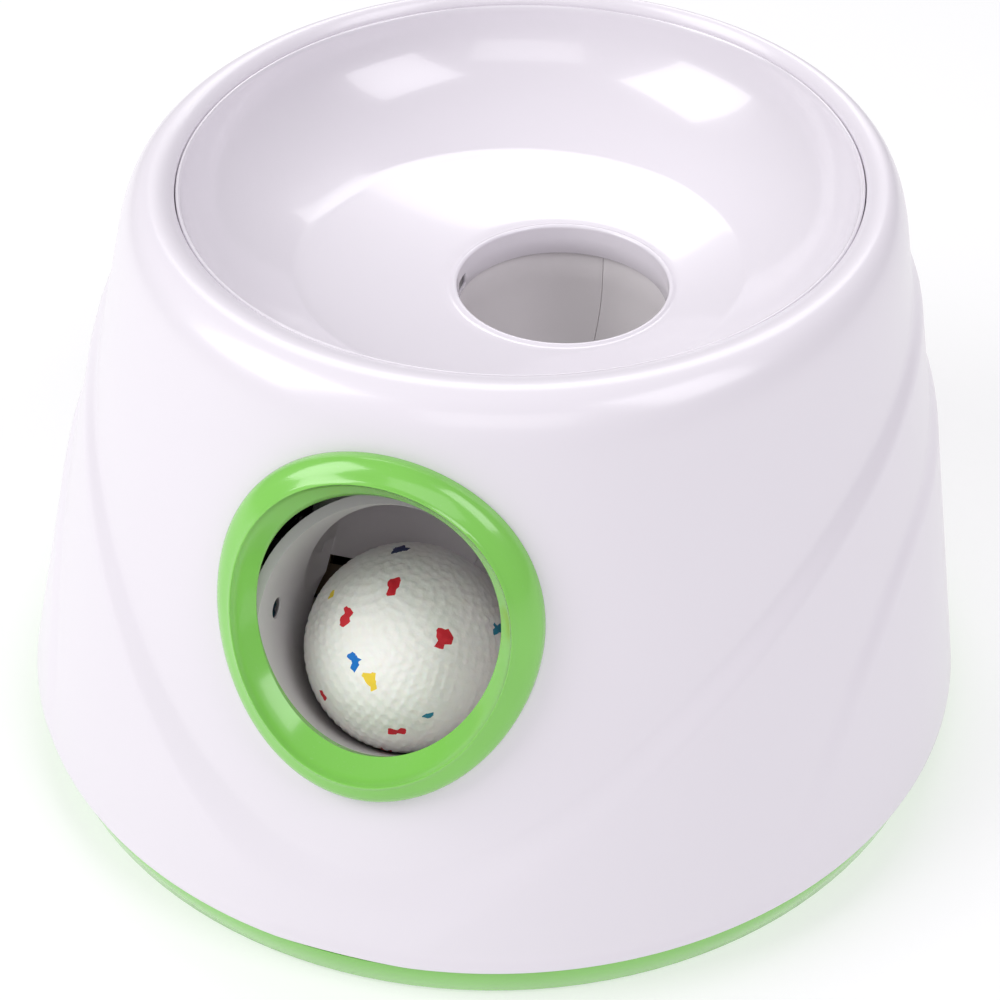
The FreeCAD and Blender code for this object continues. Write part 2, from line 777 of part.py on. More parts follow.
sector_radius = sector_module * sector_teeth / 2
sector_point = at(sector_station, rack_pitch_n - sector_radius - centre_play)
output_centre = (sector_point.y, sector_point.z)
second_centre = step_from(output_centre, output_module * (output_teeth + pinion_teeth) / 2 + centre_play,
                          train_step_deg[0])
first_centre = step_from(second_centre, train_module * (train_teeth + pinion_teeth) / 2 + centre_play,
                         train_step_deg[1])
motor_centre = step_from(first_centre, train_module * (train_teeth + pinion_teeth) / 2 + centre_play,
                         train_step_deg[2])

layer_output = (-50.0, -46.0)
layer_second_small = (-52.0, -45.0)
layer_second = (-56.0, -52.0)
layer_first_small = (-58.0, -51.0)
layer_first = (-62.0, -58.0)
layer_pinion = (-63.0, -57.0)

# Angle of a tooth that points from each gear at its neighbour, so that the pairs mesh at rest
up_angle = 90.0 - barrel_rise_deg


def mesh_turn(to_angle, teeth, gap_first):
    """Turn of a gear so that a tooth, or a gap, lies on the line at to_angle."""
    return to_angle + (180.0 / teeth if gap_first else 0.0)


def make_sector():
    # the rack lies on the upper side of the gear, and a tooth there points straight at it
    keep = [i % sector_teeth for i in range(-1, sector_tooth_count - 1)]
    return involute_gear(sector_module, sector_teeth, rack_x[0], rack_x[1], output_centre, up_angle,
                         output_axle_radius, keep, hub=sector_radius - sector_module * 1.25)


def make_output_gear():
    turn = train_step_deg[0]
    return involute_gear(output_module, output_teeth, layer_output[0], layer_output[1], output_centre,
                         mesh_turn(turn, output_teeth, True), output_axle_radius)


def make_output_axle():
    return cylinder(output_axle_radius, rack_x[1] + axle_end - outer_plate_x[0],
                    V(outer_plate_x[0], output_centre[0], output_centre[1]), V(1, 0, 0))


def make_second_gear():
    back_turn = train_step_deg[0] + 180.0
    small = involute_gear(output_module, pinion_teeth, layer_second_small[0], layer_second_small[1],
                          second_centre, back_turn, axle_radius + running_gap)
    large = involute_gear(train_module, train_teeth, layer_second[0], layer_second[1], second_centre,
                          mesh_turn(train_step_deg[1], train_teeth, True), axle_radius + running_gap)
    return fuse([small, large])


def make_first_gear():
    back_turn = train_step_deg[1] + 180.0
    small = involute_gear(train_module, pinion_teeth, layer_first_small[0], layer_first_small[1],
                          first_centre, back_turn, axle_radius + running_gap)
    large = involute_gear(train_module, train_teeth, layer_first[0], layer_first[1], first_centre,
                          mesh_turn(train_step_deg[2], train_teeth, True), axle_radius + running_gap)
    return fuse([small, large])


motor_shaft_radius = 1.0


def make_pinion():
    back_turn = train_step_deg[2] + 180.0
    return involute_gear(train_module, pinion_teeth, layer_pinion[0], layer_pinion[1], motor_centre,
                         back_turn, motor_shaft_radius)


def make_motor_shaft():
    return cylinder(motor_shaft_radius, layer_pinion[1] - outer_plate_x[0] + 8.0,
                    V(outer_plate_x[0] - 8.0, motor_centre[0], motor_centre[1]), V(1, 0, 0))


def make_motor():
    x1 = outer_plate_x[0]
    c = motor_centre
    can = cylinder(motor_radius, motor_length, V(x1 - motor_length, c[0], c[1]), V(1, 0, 0))
    flats = [box(x1 - motor_length - 1, x1 + 1, c[0] - 20, c[0] + 20, c[1] + s * 11.4 + (0 if s > 0 else -20),
                 c[1] + s * 11.4 + (20 if s > 0 else 0)) for s in (-1, 1)]
    can = can.cut(Part.makeCompound(flats))
    return can.cut(cylinder(motor_shaft_radius + running_gap, 8.1, V(x1 - 8.05, c[0], c[1]), V(1, 0, 0)))


def make_motor_cap():
    x0 = outer_plate_x[0] - motor_length
    c = motor_centre
    cap = cylinder(motor_radius - 2.6, 2.0, V(x0 - 2.0, c[0], c[1]), V(1, 0, 0))
    boss = cylinder(3.0, 1.5, V(x0 - 3.5, c[0], c[1]), V(1, 0, 0))
    tabs = [box(x0 - 5.0, x0 - 1.9, c[0] + dy - 1.2, c[0] + dy + 1.2, c[1] - 0.25, c[1] + 0.25)
            for dy in (-7.5, 7.5)]
    return fuse([cap, boss] + tabs)


def plate_outline(front_y):
    """Outline round all four gear centres, as a list of (y, z) corners."""
    back = box_front_y - box_wall - 0.8
    return [(front_y, output_centre[1] - 14.0), (gear_feet[0][1] - 16.0, gear_foot_z),
            (gear_feet[1][1] + 8.0, gear_foot_z), (back, motor_centre[1] - 13.0),
            (back, motor_centre[1] + 13.0), (back - 10.0, motor_centre[1] + 22.0),
            (second_centre[0] - 4.0, second_centre[1] + 23.0), (front_y, output_centre[1] + 8.0)]


spacer_places = ((-61.0, 15.6), (-30.0, 17.0), (2.0, 53.0), (-34.0, 60.5))
spacer_radius = 2.6
plate_screw_radius = 1.25


def plate_holes(x0):
    holes = []
    for y, z in spacer_places:
        holes.append(cylinder(plate_screw_radius + 0.1, 6, V(x0 - 2, y, z), V(1, 0, 0)))
    for centre in (second_centre, first_centre):
        holes.append(cylinder(axle_radius, 6, V(x0 - 2, centre[0], centre[1]), V(1, 0, 0)))
    holes.append(cylinder(output_axle_radius + running_gap, 6,
                          V(x0 - 2, output_centre[0], output_centre[1]), V(1, 0, 0)))
    return holes


def make_plate(x_span, front_y):
    corners = plate_outline(front_y)
    wire = Part.makePolygon([V(x_span[0], y, z) for y, z in corners + [corners[0]]])
    return Part.Face(wire).extrude(V(x_span[1] - x_span[0], 0, 0))


def make_inner_plate():
    plate = make_plate(inner_plate_x, -79.0)
    return plate.cut(Part.makeCompound(plate_holes(inner_plate_x[0])))


def make_outer_plate():
    plate = make_plate(outer_plate_x, -77.0)
    feet = []
    for x, y in gear_feet:
        feet.append(box(outer_plate_x[0], x + 4.5, y - 5, y + 5, gear_foot_z, gear_foot_z + gear_foot_thick))
    body = fuse([plate] + feet)
    body = body.cut(Part.makeCompound(plate_holes(outer_plate_x[0])))
    body = body.cut(cylinder(5.0, 6, V(outer_plate_x[0] - 2, motor_centre[0], motor_centre[1]), V(1, 0, 0)))
    for x, y in gear_feet:
        body = body.cut(cylinder(screw_radius + 0.1, 10, V(x, y, gear_foot_z - 2)))
    return body


def make_spacers():
    length = inner_plate_x[0] - outer_plate_x[1]
    pieces = []
    for y, z in spacer_places:
        post = cylinder(spacer_radius, length, V(outer_plate_x[1], y, z), V(1, 0, 0))
        pieces.append(post.cut(cylinder(plate_screw_radius, length + 2, V(outer_plate_x[1] - 1, y, z), V(1, 0, 0))))
    return Part.makeCompound(pieces)


def make_plate_screws():
    pieces = []
    for y, z in spacer_places:
        shank = cylinder(plate_screw_radius, 10.0, V(inner_plate_x[1] - 10.0, y, z), V(1, 0, 0))
        head = cylinder(2.2, 1.0, V(inner_plate_x[1], y, z), V(1, 0, 0))
        pieces.append(fuse([shank, head]))
        shank = cylinder(plate_screw_radius, 10.0, V(outer_plate_x[0], y, z), V(1, 0, 0))
        head = cylinder(2.2, 1.3, V(outer_plate_x[0] - 1.3, y, z), V(1, 0, 0))
        pieces.append(fuse([shank, head]))
    return Part.makeCompound(pieces)


def make_axle(centre):
    return cylinder(axle_radius, inner_plate_x[1] - outer_plate_x[0],
                    V(outer_plate_x[0], centre[0], centre[1]), V(1, 0, 0))


# Batteries

cell_z = tray_floor_z + cell_lift + cell_radius


def cell_rows_y():
    pitch = 2 * cell_radius + 0.6
    return [box_front_y + 0.4 + pitch / 2 + i * pitch for i in range(cell_rows)]


def make_cells():
    cells = []
    nub = 1.6
    for y in cell_rows_y():
        for x0 in (-cell_length - fit_gap / 2, fit_gap / 2):
            can = cylinder(cell_radius, cell_length - nub, V(x0, y, cell_z), V(1, 0, 0))
            tip = cylinder(4.0, nub + 0.1, V(x0 + cell_length - nub - 0.1, y, cell_z), V(1, 0, 0))
            cells.append(fuse([can, tip]))
    return Part.makeCompound(cells)


def make_box():
    outer = box(-box_width / 2 - box_wall, box_width / 2 + box_wall, box_front_y - box_wall,
                box_back_y + box_wall, tray_floor_z, box_top_z)
    inner = box(-box_width / 2, box_width / 2, box_front_y, box_back_y, 0, box_top_z - box_wall)
    body = outer.cut(inner)
    for x, y in box_tab_places:
        tab = cylinder(box_tab_radius, box_tab_thick, V(x, y, tray_floor_z))
        wall = math.copysign(box_width / 2 + box_wall / 2, x)
        bridge = box(min(wall, x), max(wall, x), y - box_tab_radius, y + box_tab_radius,
                     tray_floor_z, tray_floor_z + box_tab_thick)
        body = fuse([body, tab, bridge])
        body = body.cut(cylinder(small_screw_radius + 0.15, 4, V(x, y, tray_floor_z - 1)))
    return body


def make_contacts():
    pieces = []
    for y in cell_rows_y():
        for side in (-1, 1):
            wall = side * box_width / 2
            x0 = wall if side < 0 else wall - 0.4
            plate = box(x0, x0 + 0.4, y - 6, y + 6, cell_z - 7, cell_z + 7)
            if side < 0:
                coil = Part.makeCone(4.5, 2.5, 0.85, V(x0 + 0.4, y, cell_z), V(1, 0, 0))
            else:
                coil = cylinder(3.0, 0.85, V(x0 - 0.85, y, cell_z), V(1, 0, 0))
            pieces.append(fuse([plate, coil]))
    return Part.makeCompound(pieces)


# Electronics

def make_board():
    body = box(board_x[0], board_x[1], board_y[0], board_y[1], board_z, board_z + board_thick)
    for x, y in board_holes():
        body = body.cut(cylinder(1.4, 4, V(x, y, board_z - 1)))
    return body


def make_board_parts():
    x = board_x[0]
    y = board_y[0]
    z = board_z + board_thick
    pieces = [box(x + 14, x + 24, y + 34, y + 44, z, z + 1.8), box(x + 4, x + 10, y + 16, y + 22, z, z + 1.6),
              box(x + 26, x + 38, y + 54, y + 64, z, z + 9.0), box(x + 12, x + 24, y + 68, y + 74, z, z + 6.0),
              box(x + 14, x + 28, y + 6, y + 12, z, z + 6.0), box(x + 5, x + 9, y + 32, y + 50, z, z + 1.2)]
    pieces += [cylinder(4.0, 12.0, V(x + 32, y + 26 + 11 * i, z)) for i in range(2)]
    pieces += [box(x + 13 + 4 * i, x + 15 + 4 * i, y + 50, y + 53, z, z + 0.8) for i in range(3)]
    return Part.makeCompound(pieces)


def make_beeper():
    body = cylinder(beeper_radius, beeper_height, V(beeper_x, beeper_y, tray_floor_z))
    return body.cut(cylinder(beeper_radius - 2.0, beeper_height - 2.0, V(beeper_x, beeper_y, tray_floor_z)))


def make_muzzle_sensor(side):
    """Light emitter or receiver in the barrel's side wall, with its small carrier board."""
    start = barrel_bore_radius + 0.3
    lens = cylinder(sensor_radius, 5.4, at(sensor_station, 0, side * start), V(side, 0, 0))
    flange = cylinder(sensor_radius + 0.5, 0.8, at(sensor_station, 0, side * (start + 2.6)), V(side, 0, 0))
    return fuse([lens, flange])


# Rear control panel

rear_tilt = math.atan((side_panel_radii[0] - side_panel_radii[1]) / (shoulder_z - shell_bottom_z) - lean)
rear_y = lean_y(panel_z) + panel_radius(side_panel_radii, panel_z)
rear_face = rear_y - (panel_width / 2) ** 2 / (2 * rear_y) - 0.6
panel_place = FreeCAD.Placement(V(0, rear_face, panel_z), FreeCAD.Rotation(V(1, 0, 0), math.degrees(rear_tilt)))


def panel_block(width, height, depth0, depth1, x=0.0, z=0.0):
    """Block in the panel frame: depth0 to depth1 along its outward normal, from its face."""
    block = box(x - width / 2, x + width / 2, depth0, depth1, z - height / 2, z + height / 2)
    block.Placement = panel_place
    return block


def panel_point(x, depth, z):
    return panel_place.multVec(V(x, depth, z))


panel_out = panel_place.Rotation.multVec(V(0, 1, 0))
control_board_depth = 10.0
board_posts = ((-4.8, -6.0), (-4.8, 6.0), (14.6, 6.3))
rocker_x = -13.2
rocker_width = 9.0
rocker_height = 13.0
button_x = 1.5
button_radius = 4.5
button_travel = 1.2
button_stem = 1.5
led_x = 9.5
jack_x = 16.5
jack_radius = 4.0


def make_panel():
    face = panel_block(panel_width, panel_height, -panel_thick, 0)
    flange = panel_block(panel_width + 6, panel_height + 5, -panel_thick - 6.5, -panel_thick - 4.5)
    neck = panel_block(panel_width - 2, panel_height - 2, -panel_thick - 5, -panel_thick + 1)
    neck = neck.cut(panel_block(panel_width - 6, panel_height - 6, -panel_thick - 5, -panel_thick + 0.01))
    flange = flange.cut(panel_block(panel_width - 6, panel_height - 6, -panel_thick - 12, -panel_thick))
    posts = [cylinder(1.6, control_board_depth - panel_thick + 0.1, panel_point(x, -control_board_depth, z), panel_out)
             for x, z in board_posts]
    body = fuse([face, flange, neck] + posts)
    body = body.cut(panel_block(rocker_width + 2 * fit_gap, rocker_height + 2 * fit_gap, -20, 5, rocker_x))
    holes = [(button_x, 0.0, button_radius + fit_gap), (jack_x, -2.0, jack_radius + 0.1)]
    holes += [(led_x, z, 1.3) for z in led_heights()]
    for x, z, radius in holes:
        body = body.cut(cylinder(radius, 30, panel_point(x, -20, z), panel_out))
    return body


def led_heights():
    return [-6.0, 0.0, 6.0]


def make_rocker():
    """Rocker key that turns about the middle of the panel's thickness."""
    key = panel_block(rocker_width, rocker_height, -panel_thick, 0.8, rocker_x)
    dip = cylinder(30.0, rocker_width + 2, panel_point(rocker_x - rocker_width / 2 - 1, 30.2, 0), V(1, 0, 0))
    tail = panel_block(rocker_width - 1, rocker_height - 5, -panel_thick - 3.0, -panel_thick + 0.5, rocker_x)
    return fuse([key.cut(dip), tail])


def make_rocker_case():
    depth = panel_thick + 9.0
    body = panel_block(rocker_width + 3.4, rocker_height + 3.4, -depth - 3.0, -panel_thick - 0.01, rocker_x)
    body = body.cut(panel_block(rocker_width + 0.8, rocker_height + 0.8, -depth + 1.5, 0, rocker_x))
    tabs = [panel_block(0.8, 4.0, -depth - 7.0, -depth - 2.9, rocker_x, z) for z in (-4.0, 4.0)]
    return fuse([body] + tabs)


def make_button():
    flange_low = -panel_thick - fit_gap - 1.0
    cap = cylinder(button_radius, 1.0 - flange_low, panel_point(button_x, flange_low + 0.2, 0), panel_out)
    flange = cylinder(button_radius + 1.0, 1.0, panel_point(button_x, flange_low, 0), panel_out)
    stem = cylinder(1.2, button_stem + 0.1, panel_point(button_x, flange_low - button_stem, 0), panel_out)
    return fuse([cap, flange, stem])


def make_leds():
    return Part.makeCompound([cylinder(1.2, 5.2, panel_point(led_x, -4.8, z), panel_out) for z in led_heights()])


def make_control_board():
    return panel_block(23.5, panel_height - 8.0, -control_board_depth - 1.4, -control_board_depth, 5.1)


def make_tact_switch():
    top = -panel_thick - fit_gap - 1.0 - button_stem - button_travel - 0.1
    return panel_block(6.0, 6.0, -control_board_depth, top, button_x)


def make_jack():
    barrel = cylinder(jack_radius, 8.0, panel_point(jack_x, -7.6, -2.0), panel_out)
    barrel = barrel.cut(cylinder(jack_radius - 1.4, 6.0, panel_point(jack_x, -5.0, -2.0), panel_out))
    pin = cylinder(0.9, 5.4, panel_point(jack_x, -6.0, -2.0), panel_out)
    return fuse([barrel, pin])


# Fasteners and feet

def screw(spot, length, radius=screw_radius, head=screw_head_radius, direction=V(0, 0, 1)):
    """Pan-head screw whose head's outer face is at spot and whose shank runs along direction."""
    head_part = cylinder(head, screw_head_height, spot, direction)
    shank = cylinder(radius, length, spot + direction * (screw_head_height - 0.1), direction)
    return fuse([head_part, shank])


def make_shell_screws():
    pieces = []
    for angle in boss_angles:
        spot = ring_place(angle, boss_radius_on_tray, foot_height + 0.1)
        pieces.append(screw(spot, 14.0, 1.2))
    return Part.makeCompound(pieces)


def make_mechanism_screws():
    pieces = []
    down = V(0, 0, -1)
    places = [(x, y, board_z + board_thick, small_screw_length) for x, y in board_holes()]
    places += [(x, y, gear_foot_z + gear_foot_thick, small_screw_length) for x, y in gear_feet]
    places += [(x, cradle_foot_y, cradle_foot_z + cradle_plate, small_screw_length)
               for x in (-cradle_foot_x, cradle_foot_x)]
    places += [(x, y, tray_floor_z + box_tab_thick, box_tab_thick + box_screw_bite) for x, y in box_tab_places]
    for x, y, z, length in places:
        head_top = V(x, y, z + screw_head_height)
        pieces.append(screw(head_top, length, small_screw_radius, small_head_radius, down))
    return Part.makeCompound(pieces)


def make_door_screws():
    pieces = []
    for x, y in door_screw_places:
        head = cylinder(small_head_radius, door_head_height, V(x, y, foot_height - door_head_height))
        shank = cylinder(small_screw_radius, door_screw_length, V(x, y, foot_height - 0.1))
        pieces.append(fuse([head, shank]))
    return Part.makeCompound(pieces)


def make_feet():
    pieces = []
    for angle, radius in foot_places:
        pieces.append(cylinder(foot_radius, foot_height + foot_recess, ring_place(angle, radius, 0)))
    return Part.makeCompound(pieces)


save("base_tray", make_tray())
save("battery_door", make_door())
save("outer_shell", make_shell())
save("launch_bezel", make_bezel())
save("launch_barrel", make_barrel())
chute = make_chute()
save("chute_left", split_chute(chute, -1))
save("chute_right", split_chute(chute, 1))
save("drop_bowl", make_bowl())
save("drop_sensor_lens", make_drop_lens())
save("ball", make_ball())
save("striker", make_striker())
save("striker_pad", make_pad())
save("striker_cradle", make_cradle())
save("main_spring", make_spring())
save("sector_gear", make_sector())
save("output_gear", make_output_gear())
save("output_axle", make_output_axle())
save("second_gear", make_second_gear())
save("first_gear", make_first_gear())
save("second_axle", make_axle(second_centre))
save("first_axle", make_axle(first_centre))
save("motor_pinion", make_pinion())
save("motor_shaft", make_motor_shaft())
save("motor_can", make_motor())
save("motor_end_cap", make_motor_cap())
save("inner_gear_plate", make_inner_plate())
save("outer_gear_plate", make_outer_plate())
save("plate_spacers", make_spacers())
save("plate_screws", make_plate_screws())
save("battery_box", make_box())
save("battery_cells", make_cells())
save("battery_contacts", make_contacts())
save("main_board", make_board())
save("board_parts", make_board_parts())
save("beeper", make_beeper())
save("muzzle_emitter", make_muzzle_sensor(-1))
save("muzzle_receiver", make_muzzle_sensor(1))
save("rear_panel", make_panel())
save("power_rocker", make_rocker())
save("rocker_case", make_rocker_case())
save("range_button", make_button())
save("range_switch", make_tact_switch())
save("range_lights", make_leds())
save("control_board", make_control_board())
save("power_inlet", make_jack())
save("shell_screws", make_shell_screws())
save("mechanism_screws", make_mechanism_screws())
save("door_screws", make_door_screws())
save("rubber_feet", make_feet())
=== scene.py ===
import json
import math

import bmesh
import bpy
import numpy as np
from bpy.props import FloatProperty, FloatVectorProperty, IntProperty, PointerProperty
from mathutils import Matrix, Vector
from mathutils.kdtree import KDTree


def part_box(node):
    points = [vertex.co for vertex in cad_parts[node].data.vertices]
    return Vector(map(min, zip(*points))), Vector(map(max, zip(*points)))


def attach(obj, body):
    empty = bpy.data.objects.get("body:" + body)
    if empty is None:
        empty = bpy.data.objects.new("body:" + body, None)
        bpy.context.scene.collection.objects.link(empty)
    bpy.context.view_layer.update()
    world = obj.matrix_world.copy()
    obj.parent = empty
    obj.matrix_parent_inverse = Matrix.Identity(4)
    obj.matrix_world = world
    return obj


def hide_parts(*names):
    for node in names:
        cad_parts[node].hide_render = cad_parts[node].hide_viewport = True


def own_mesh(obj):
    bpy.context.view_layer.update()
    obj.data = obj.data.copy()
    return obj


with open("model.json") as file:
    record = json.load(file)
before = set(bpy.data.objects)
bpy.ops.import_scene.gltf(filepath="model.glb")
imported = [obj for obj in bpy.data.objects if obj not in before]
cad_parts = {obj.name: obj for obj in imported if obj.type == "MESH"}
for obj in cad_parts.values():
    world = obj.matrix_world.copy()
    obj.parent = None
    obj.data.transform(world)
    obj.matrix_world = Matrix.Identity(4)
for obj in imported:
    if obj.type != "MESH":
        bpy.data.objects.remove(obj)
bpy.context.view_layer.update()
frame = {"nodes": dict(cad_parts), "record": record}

bl_info = {
    "name": "Automatic Ball Launcher",
    "version": (1, 0, 0),
    "blender": (4, 5, 0),
    "location": "View3D > Sidebar > Launcher",
    "description": "Builds the finished surfaces of a round pet ball launcher around its packed model",
    "category": "Mesh",
}

MM = 0.001

# The housing in millimetres, as the packed model has it
LEAN = 0.138
EDGE_Z = 11.6
PANEL_HEIGHT = 125.4
PORT_RADII = (121.5, 95.6)
FRONT_RADII = (124.2, 97.6)
SIDE_RADII = (125.0, 100.1)
WALL = 2.8
SEAM_RADIUS = 84.6
SEAM_Z = 139.7
SEAM_GAP = 0.25
SEAM_CENTRE_Y = 21.98
SEAM_TILT = 0.037
HOLE_CENTRE = (12.0, 21.0)
HOLE_RADIUS = 27.0
PORT_Z = 88.0
BARREL_RISE = math.radians(43.0)
BORE_RADIUS = 28.5
BALL_RADIUS = 25.0

PANEL_TOP_Z = 128.0
PORT_HOLE = (35.1, 38.1)
REAR_PANEL_Z = 58.0
REAR_HOLE = (23.3, 12.3)
SLEEVE_DEPTH = 5.0
RING_SKIRT = 3.4
BOWL_FLOOR_Z = 108.0
BOWL_KNEE_RADIUS = 58.0
CUTTER_REACH = 52.0

# Middle lines of the two swept ledges seen from the side, as (y, z) before the lean
UPPER_LEDGE = ((140, 119), (100, 118.5), (60, 118), (30, 116.5), (4, 113), (-18, 107),
               (-46, 96), (-68, 82.5), (-86, 68), (-99.7, 53.7), (-109.5, 42), (-116.5, 33),
               (-121, 25), (-126, 12), (-130, -10))
LOWER_LEDGE = ((140, 103), (100, 99.5), (60, 94), (30, 88), (0, 80.5), (-18, 77.5),
               (-33, 71.5), (-51, 56.6), (-64, 40), (-73.5, 23), (-78, 10), (-84, -20))
LEDGE_SAMPLES = 240
LEDGE_SMOOTHING = 15

# Profile of the port ring as (inset from its outline, height over the wall)
RING_HEIGHT = 6.0
RING_PROFILE = ((0, 0.15), (0, 1.5), (0.12, 2.3), (0.5, 3.1), (1.2, 3.9), (2.2, 4.6), (3.4, 5.15),
                (4.5, 5.5), (4.85, 5.72), (5.15, 6.0), (5.45, 6.0), (5.65, 5.7), (5.7, 5.2))
FLARE_INSET = 5.7
FLARE_DROP = 0.8

# Turned profiles as (radius, z) from the bottom up
HOUSING_SCREW = ((0, 0.0), (1.6, 0.0), (2.3, 0.15), (2.75, 0.6), (2.9, 1.2), (2.9, 1.6), (1.2, 1.6),
                 (1.2, 15.4), (0.5, 15.6), (0, 15.6))
DOOR_SCREW = ((0, 0.0), (1.5, 0.0), (2.1, 0.12), (2.5, 0.5), (2.6, 0.9), (2.6, 1.2), (1.1, 1.2),
              (1.1, 8.9), (0.5, 9.1), (0, 9.1))
SOFT_FOOT = ((0, 0.25), (3.0, 0.25), (3.6, 0.0), (6.3, 0.0), (6.85, 0.25), (7.0, 0.7), (7.0, 2.45),
             (6.9, 2.6), (0, 2.6))

# Chips of coloured foam on the ball
CHIP_CELLS = 560.0
HIDDEN_CHIP_SIZE = 1.8
CHIP_COUNT = 22
CHIP_SEED = 7
BEAD_SEED = 11
BEAD_JITTER = 0.14
GROOVE_WIDTH = 1.6

# Copies set by Geometry Nodes are turned at random by up to this angle
TURN_RANGE = 3.0
TURN_SEED = 5


class HousingSettings(bpy.types.PropertyGroup):
    """Sizes and colours of the housing."""

    ledge_width: FloatProperty(name="Ledge width", default=0.005, subtype="DISTANCE", unit="LENGTH",
                               description="Width of each swept ledge across its slope")
    columns: IntProperty(name="Columns", description="Divisions round the housing", default=480, min=96)
    white: FloatVectorProperty(name="Housing white", description="Colour of the glossy housing",
                               subtype="COLOR", size=3, default=(0.81, 0.772, 0.828))
    green: FloatVectorProperty(name="Trim green", description="Colour of the port ring and the base",
                               subtype="COLOR", size=3, default=(0.25, 0.66, 0.11))


class PortSettings(bpy.types.PropertyGroup):
    """Sizes of the ring round the launch port."""

    half_width: FloatProperty(name="Ring half width", description="Half the ring's width across the wall",
                              default=0.038, subtype="DISTANCE", unit="LENGTH")
    half_height: FloatProperty(name="Ring half height", default=0.041, subtype="DISTANCE", unit="LENGTH",
                               description="Half the ring's height up the wall")
    proud: FloatProperty(name="Ring height", description="How far the ring stands out of the wall",
                         default=0.006, subtype="DISTANCE", unit="LENGTH")


class BallSettings(bpy.types.PropertyGroup):
    """Surface of the foamed ball."""

    bead_count: IntProperty(name="Foam beads", default=1250,
                            description="Number of foamed beads over the ball")
    bead_depth: FloatProperty(name="Bead depth", description="Depth of the grooves between beads",
                              default=0.00048, subtype="DISTANCE", unit="LENGTH")


class SpringSettings(bpy.types.PropertyGroup):
    """Sizes of the main spring."""

    turns: FloatProperty(name="Turns", description="Turns of the coil", default=8.5)
    radius: FloatProperty(name="Coil radius", default=0.00905, subtype="DISTANCE", unit="LENGTH",
                          description="Radius of the coil's middle line")
    wire: FloatProperty(name="Wire", default=0.0013, subtype="DISTANCE", unit="LENGTH",
                        description="Diameter of the wire")
    seat: FloatProperty(name="Seat", default=0.10525, subtype="DISTANCE", unit="LENGTH",
                        description="Distance from the port to the coil's far end")
    free_length: FloatProperty(name="Free length", default=0.0355, subtype="DISTANCE", unit="LENGTH",
                               description="Length of the coil at rest")
    kept_share: FloatProperty(name="Kept share", description="Share of its length left when drawn back",
                              default=0.34)


class StageSettings(bpy.types.PropertyGroup):
    """Camera and lights."""

    azimuth: FloatProperty(name="Azimuth", description="Camera's turn from the port side",
                           default=math.radians(16.71), subtype="ANGLE", unit="ROTATION")
    elevation: FloatProperty(name="Elevation", description="Camera's height angle",
                             default=math.radians(38.2), subtype="ANGLE", unit="ROTATION")
    distance: FloatProperty(name="Distance", description="Camera to the middle of the launcher",
                            default=0.53356, subtype="DISTANCE", unit="LENGTH")
    focal: FloatProperty(name="Focal length", description="Focal length in millimetres on a 36 mm sensor",
                         default=73.26)


# Materials

DUST = (0.62, 0.6, 0.57)


def new_group(name, inputs, outputs):
    """Empty shader node group with named sockets, or None when it is built already."""
    if name in bpy.data.node_groups:
        return None
    group = bpy.data.node_groups.new(name, "ShaderNodeTree")
    for label, kind, value in inputs:
        socket = group.interface.new_socket(label, in_out="INPUT", socket_type=kind)
        if value is not None:
            socket.default_value = value
    for label, kind in outputs:
        group.interface.new_socket(label, in_out="OUTPUT", socket_type=kind)
    return group


def node(tree, kind, **values):
    """New node with the given inputs or settings."""
    made = tree.nodes.new(kind)
    for key, value in values.items():
        if key in made.inputs:
            made.inputs[key].default_value = value
        else:
            setattr(made, key, value)
    return made


def grain_group():
    """Fine moulded grain over slow colour drift: Drift and Height change over the surface."""
    name = "Moulded grain"
    g = new_group(name, [("Vector", "NodeSocketVector", None), ("Scale", "NodeSocketFloat", 900.0),
                         ("Drift Scale", "NodeSocketFloat", 22.0)],
                  [("Drift", "NodeSocketFloat"), ("Height", "NodeSocketFloat")])
    if g is None:
        return bpy.data.node_groups[name]
    inside = g.nodes.new("NodeGroupInput")
    outside = g.nodes.new("NodeGroupOutput")
    fine = node(g, "ShaderNodeTexNoise", Detail=4.0, Roughness=0.55)
    slow = node(g, "ShaderNodeTexNoise", Detail=2.0, Roughness=0.5)
    g.links.new(inside.outputs["Vector"], fine.inputs["Vector"])
    g.links.new(inside.outputs["Vector"], slow.inputs["Vector"])
    g.links.new(inside.outputs["Scale"], fine.inputs["Scale"])
    g.links.new(inside.outputs["Drift Scale"], slow.inputs["Scale"])
    g.links.new(slow.outputs["Fac"], outside.inputs["Drift"])
    g.links.new(fine.outputs["Fac"], outside.inputs["Height"])
    return g


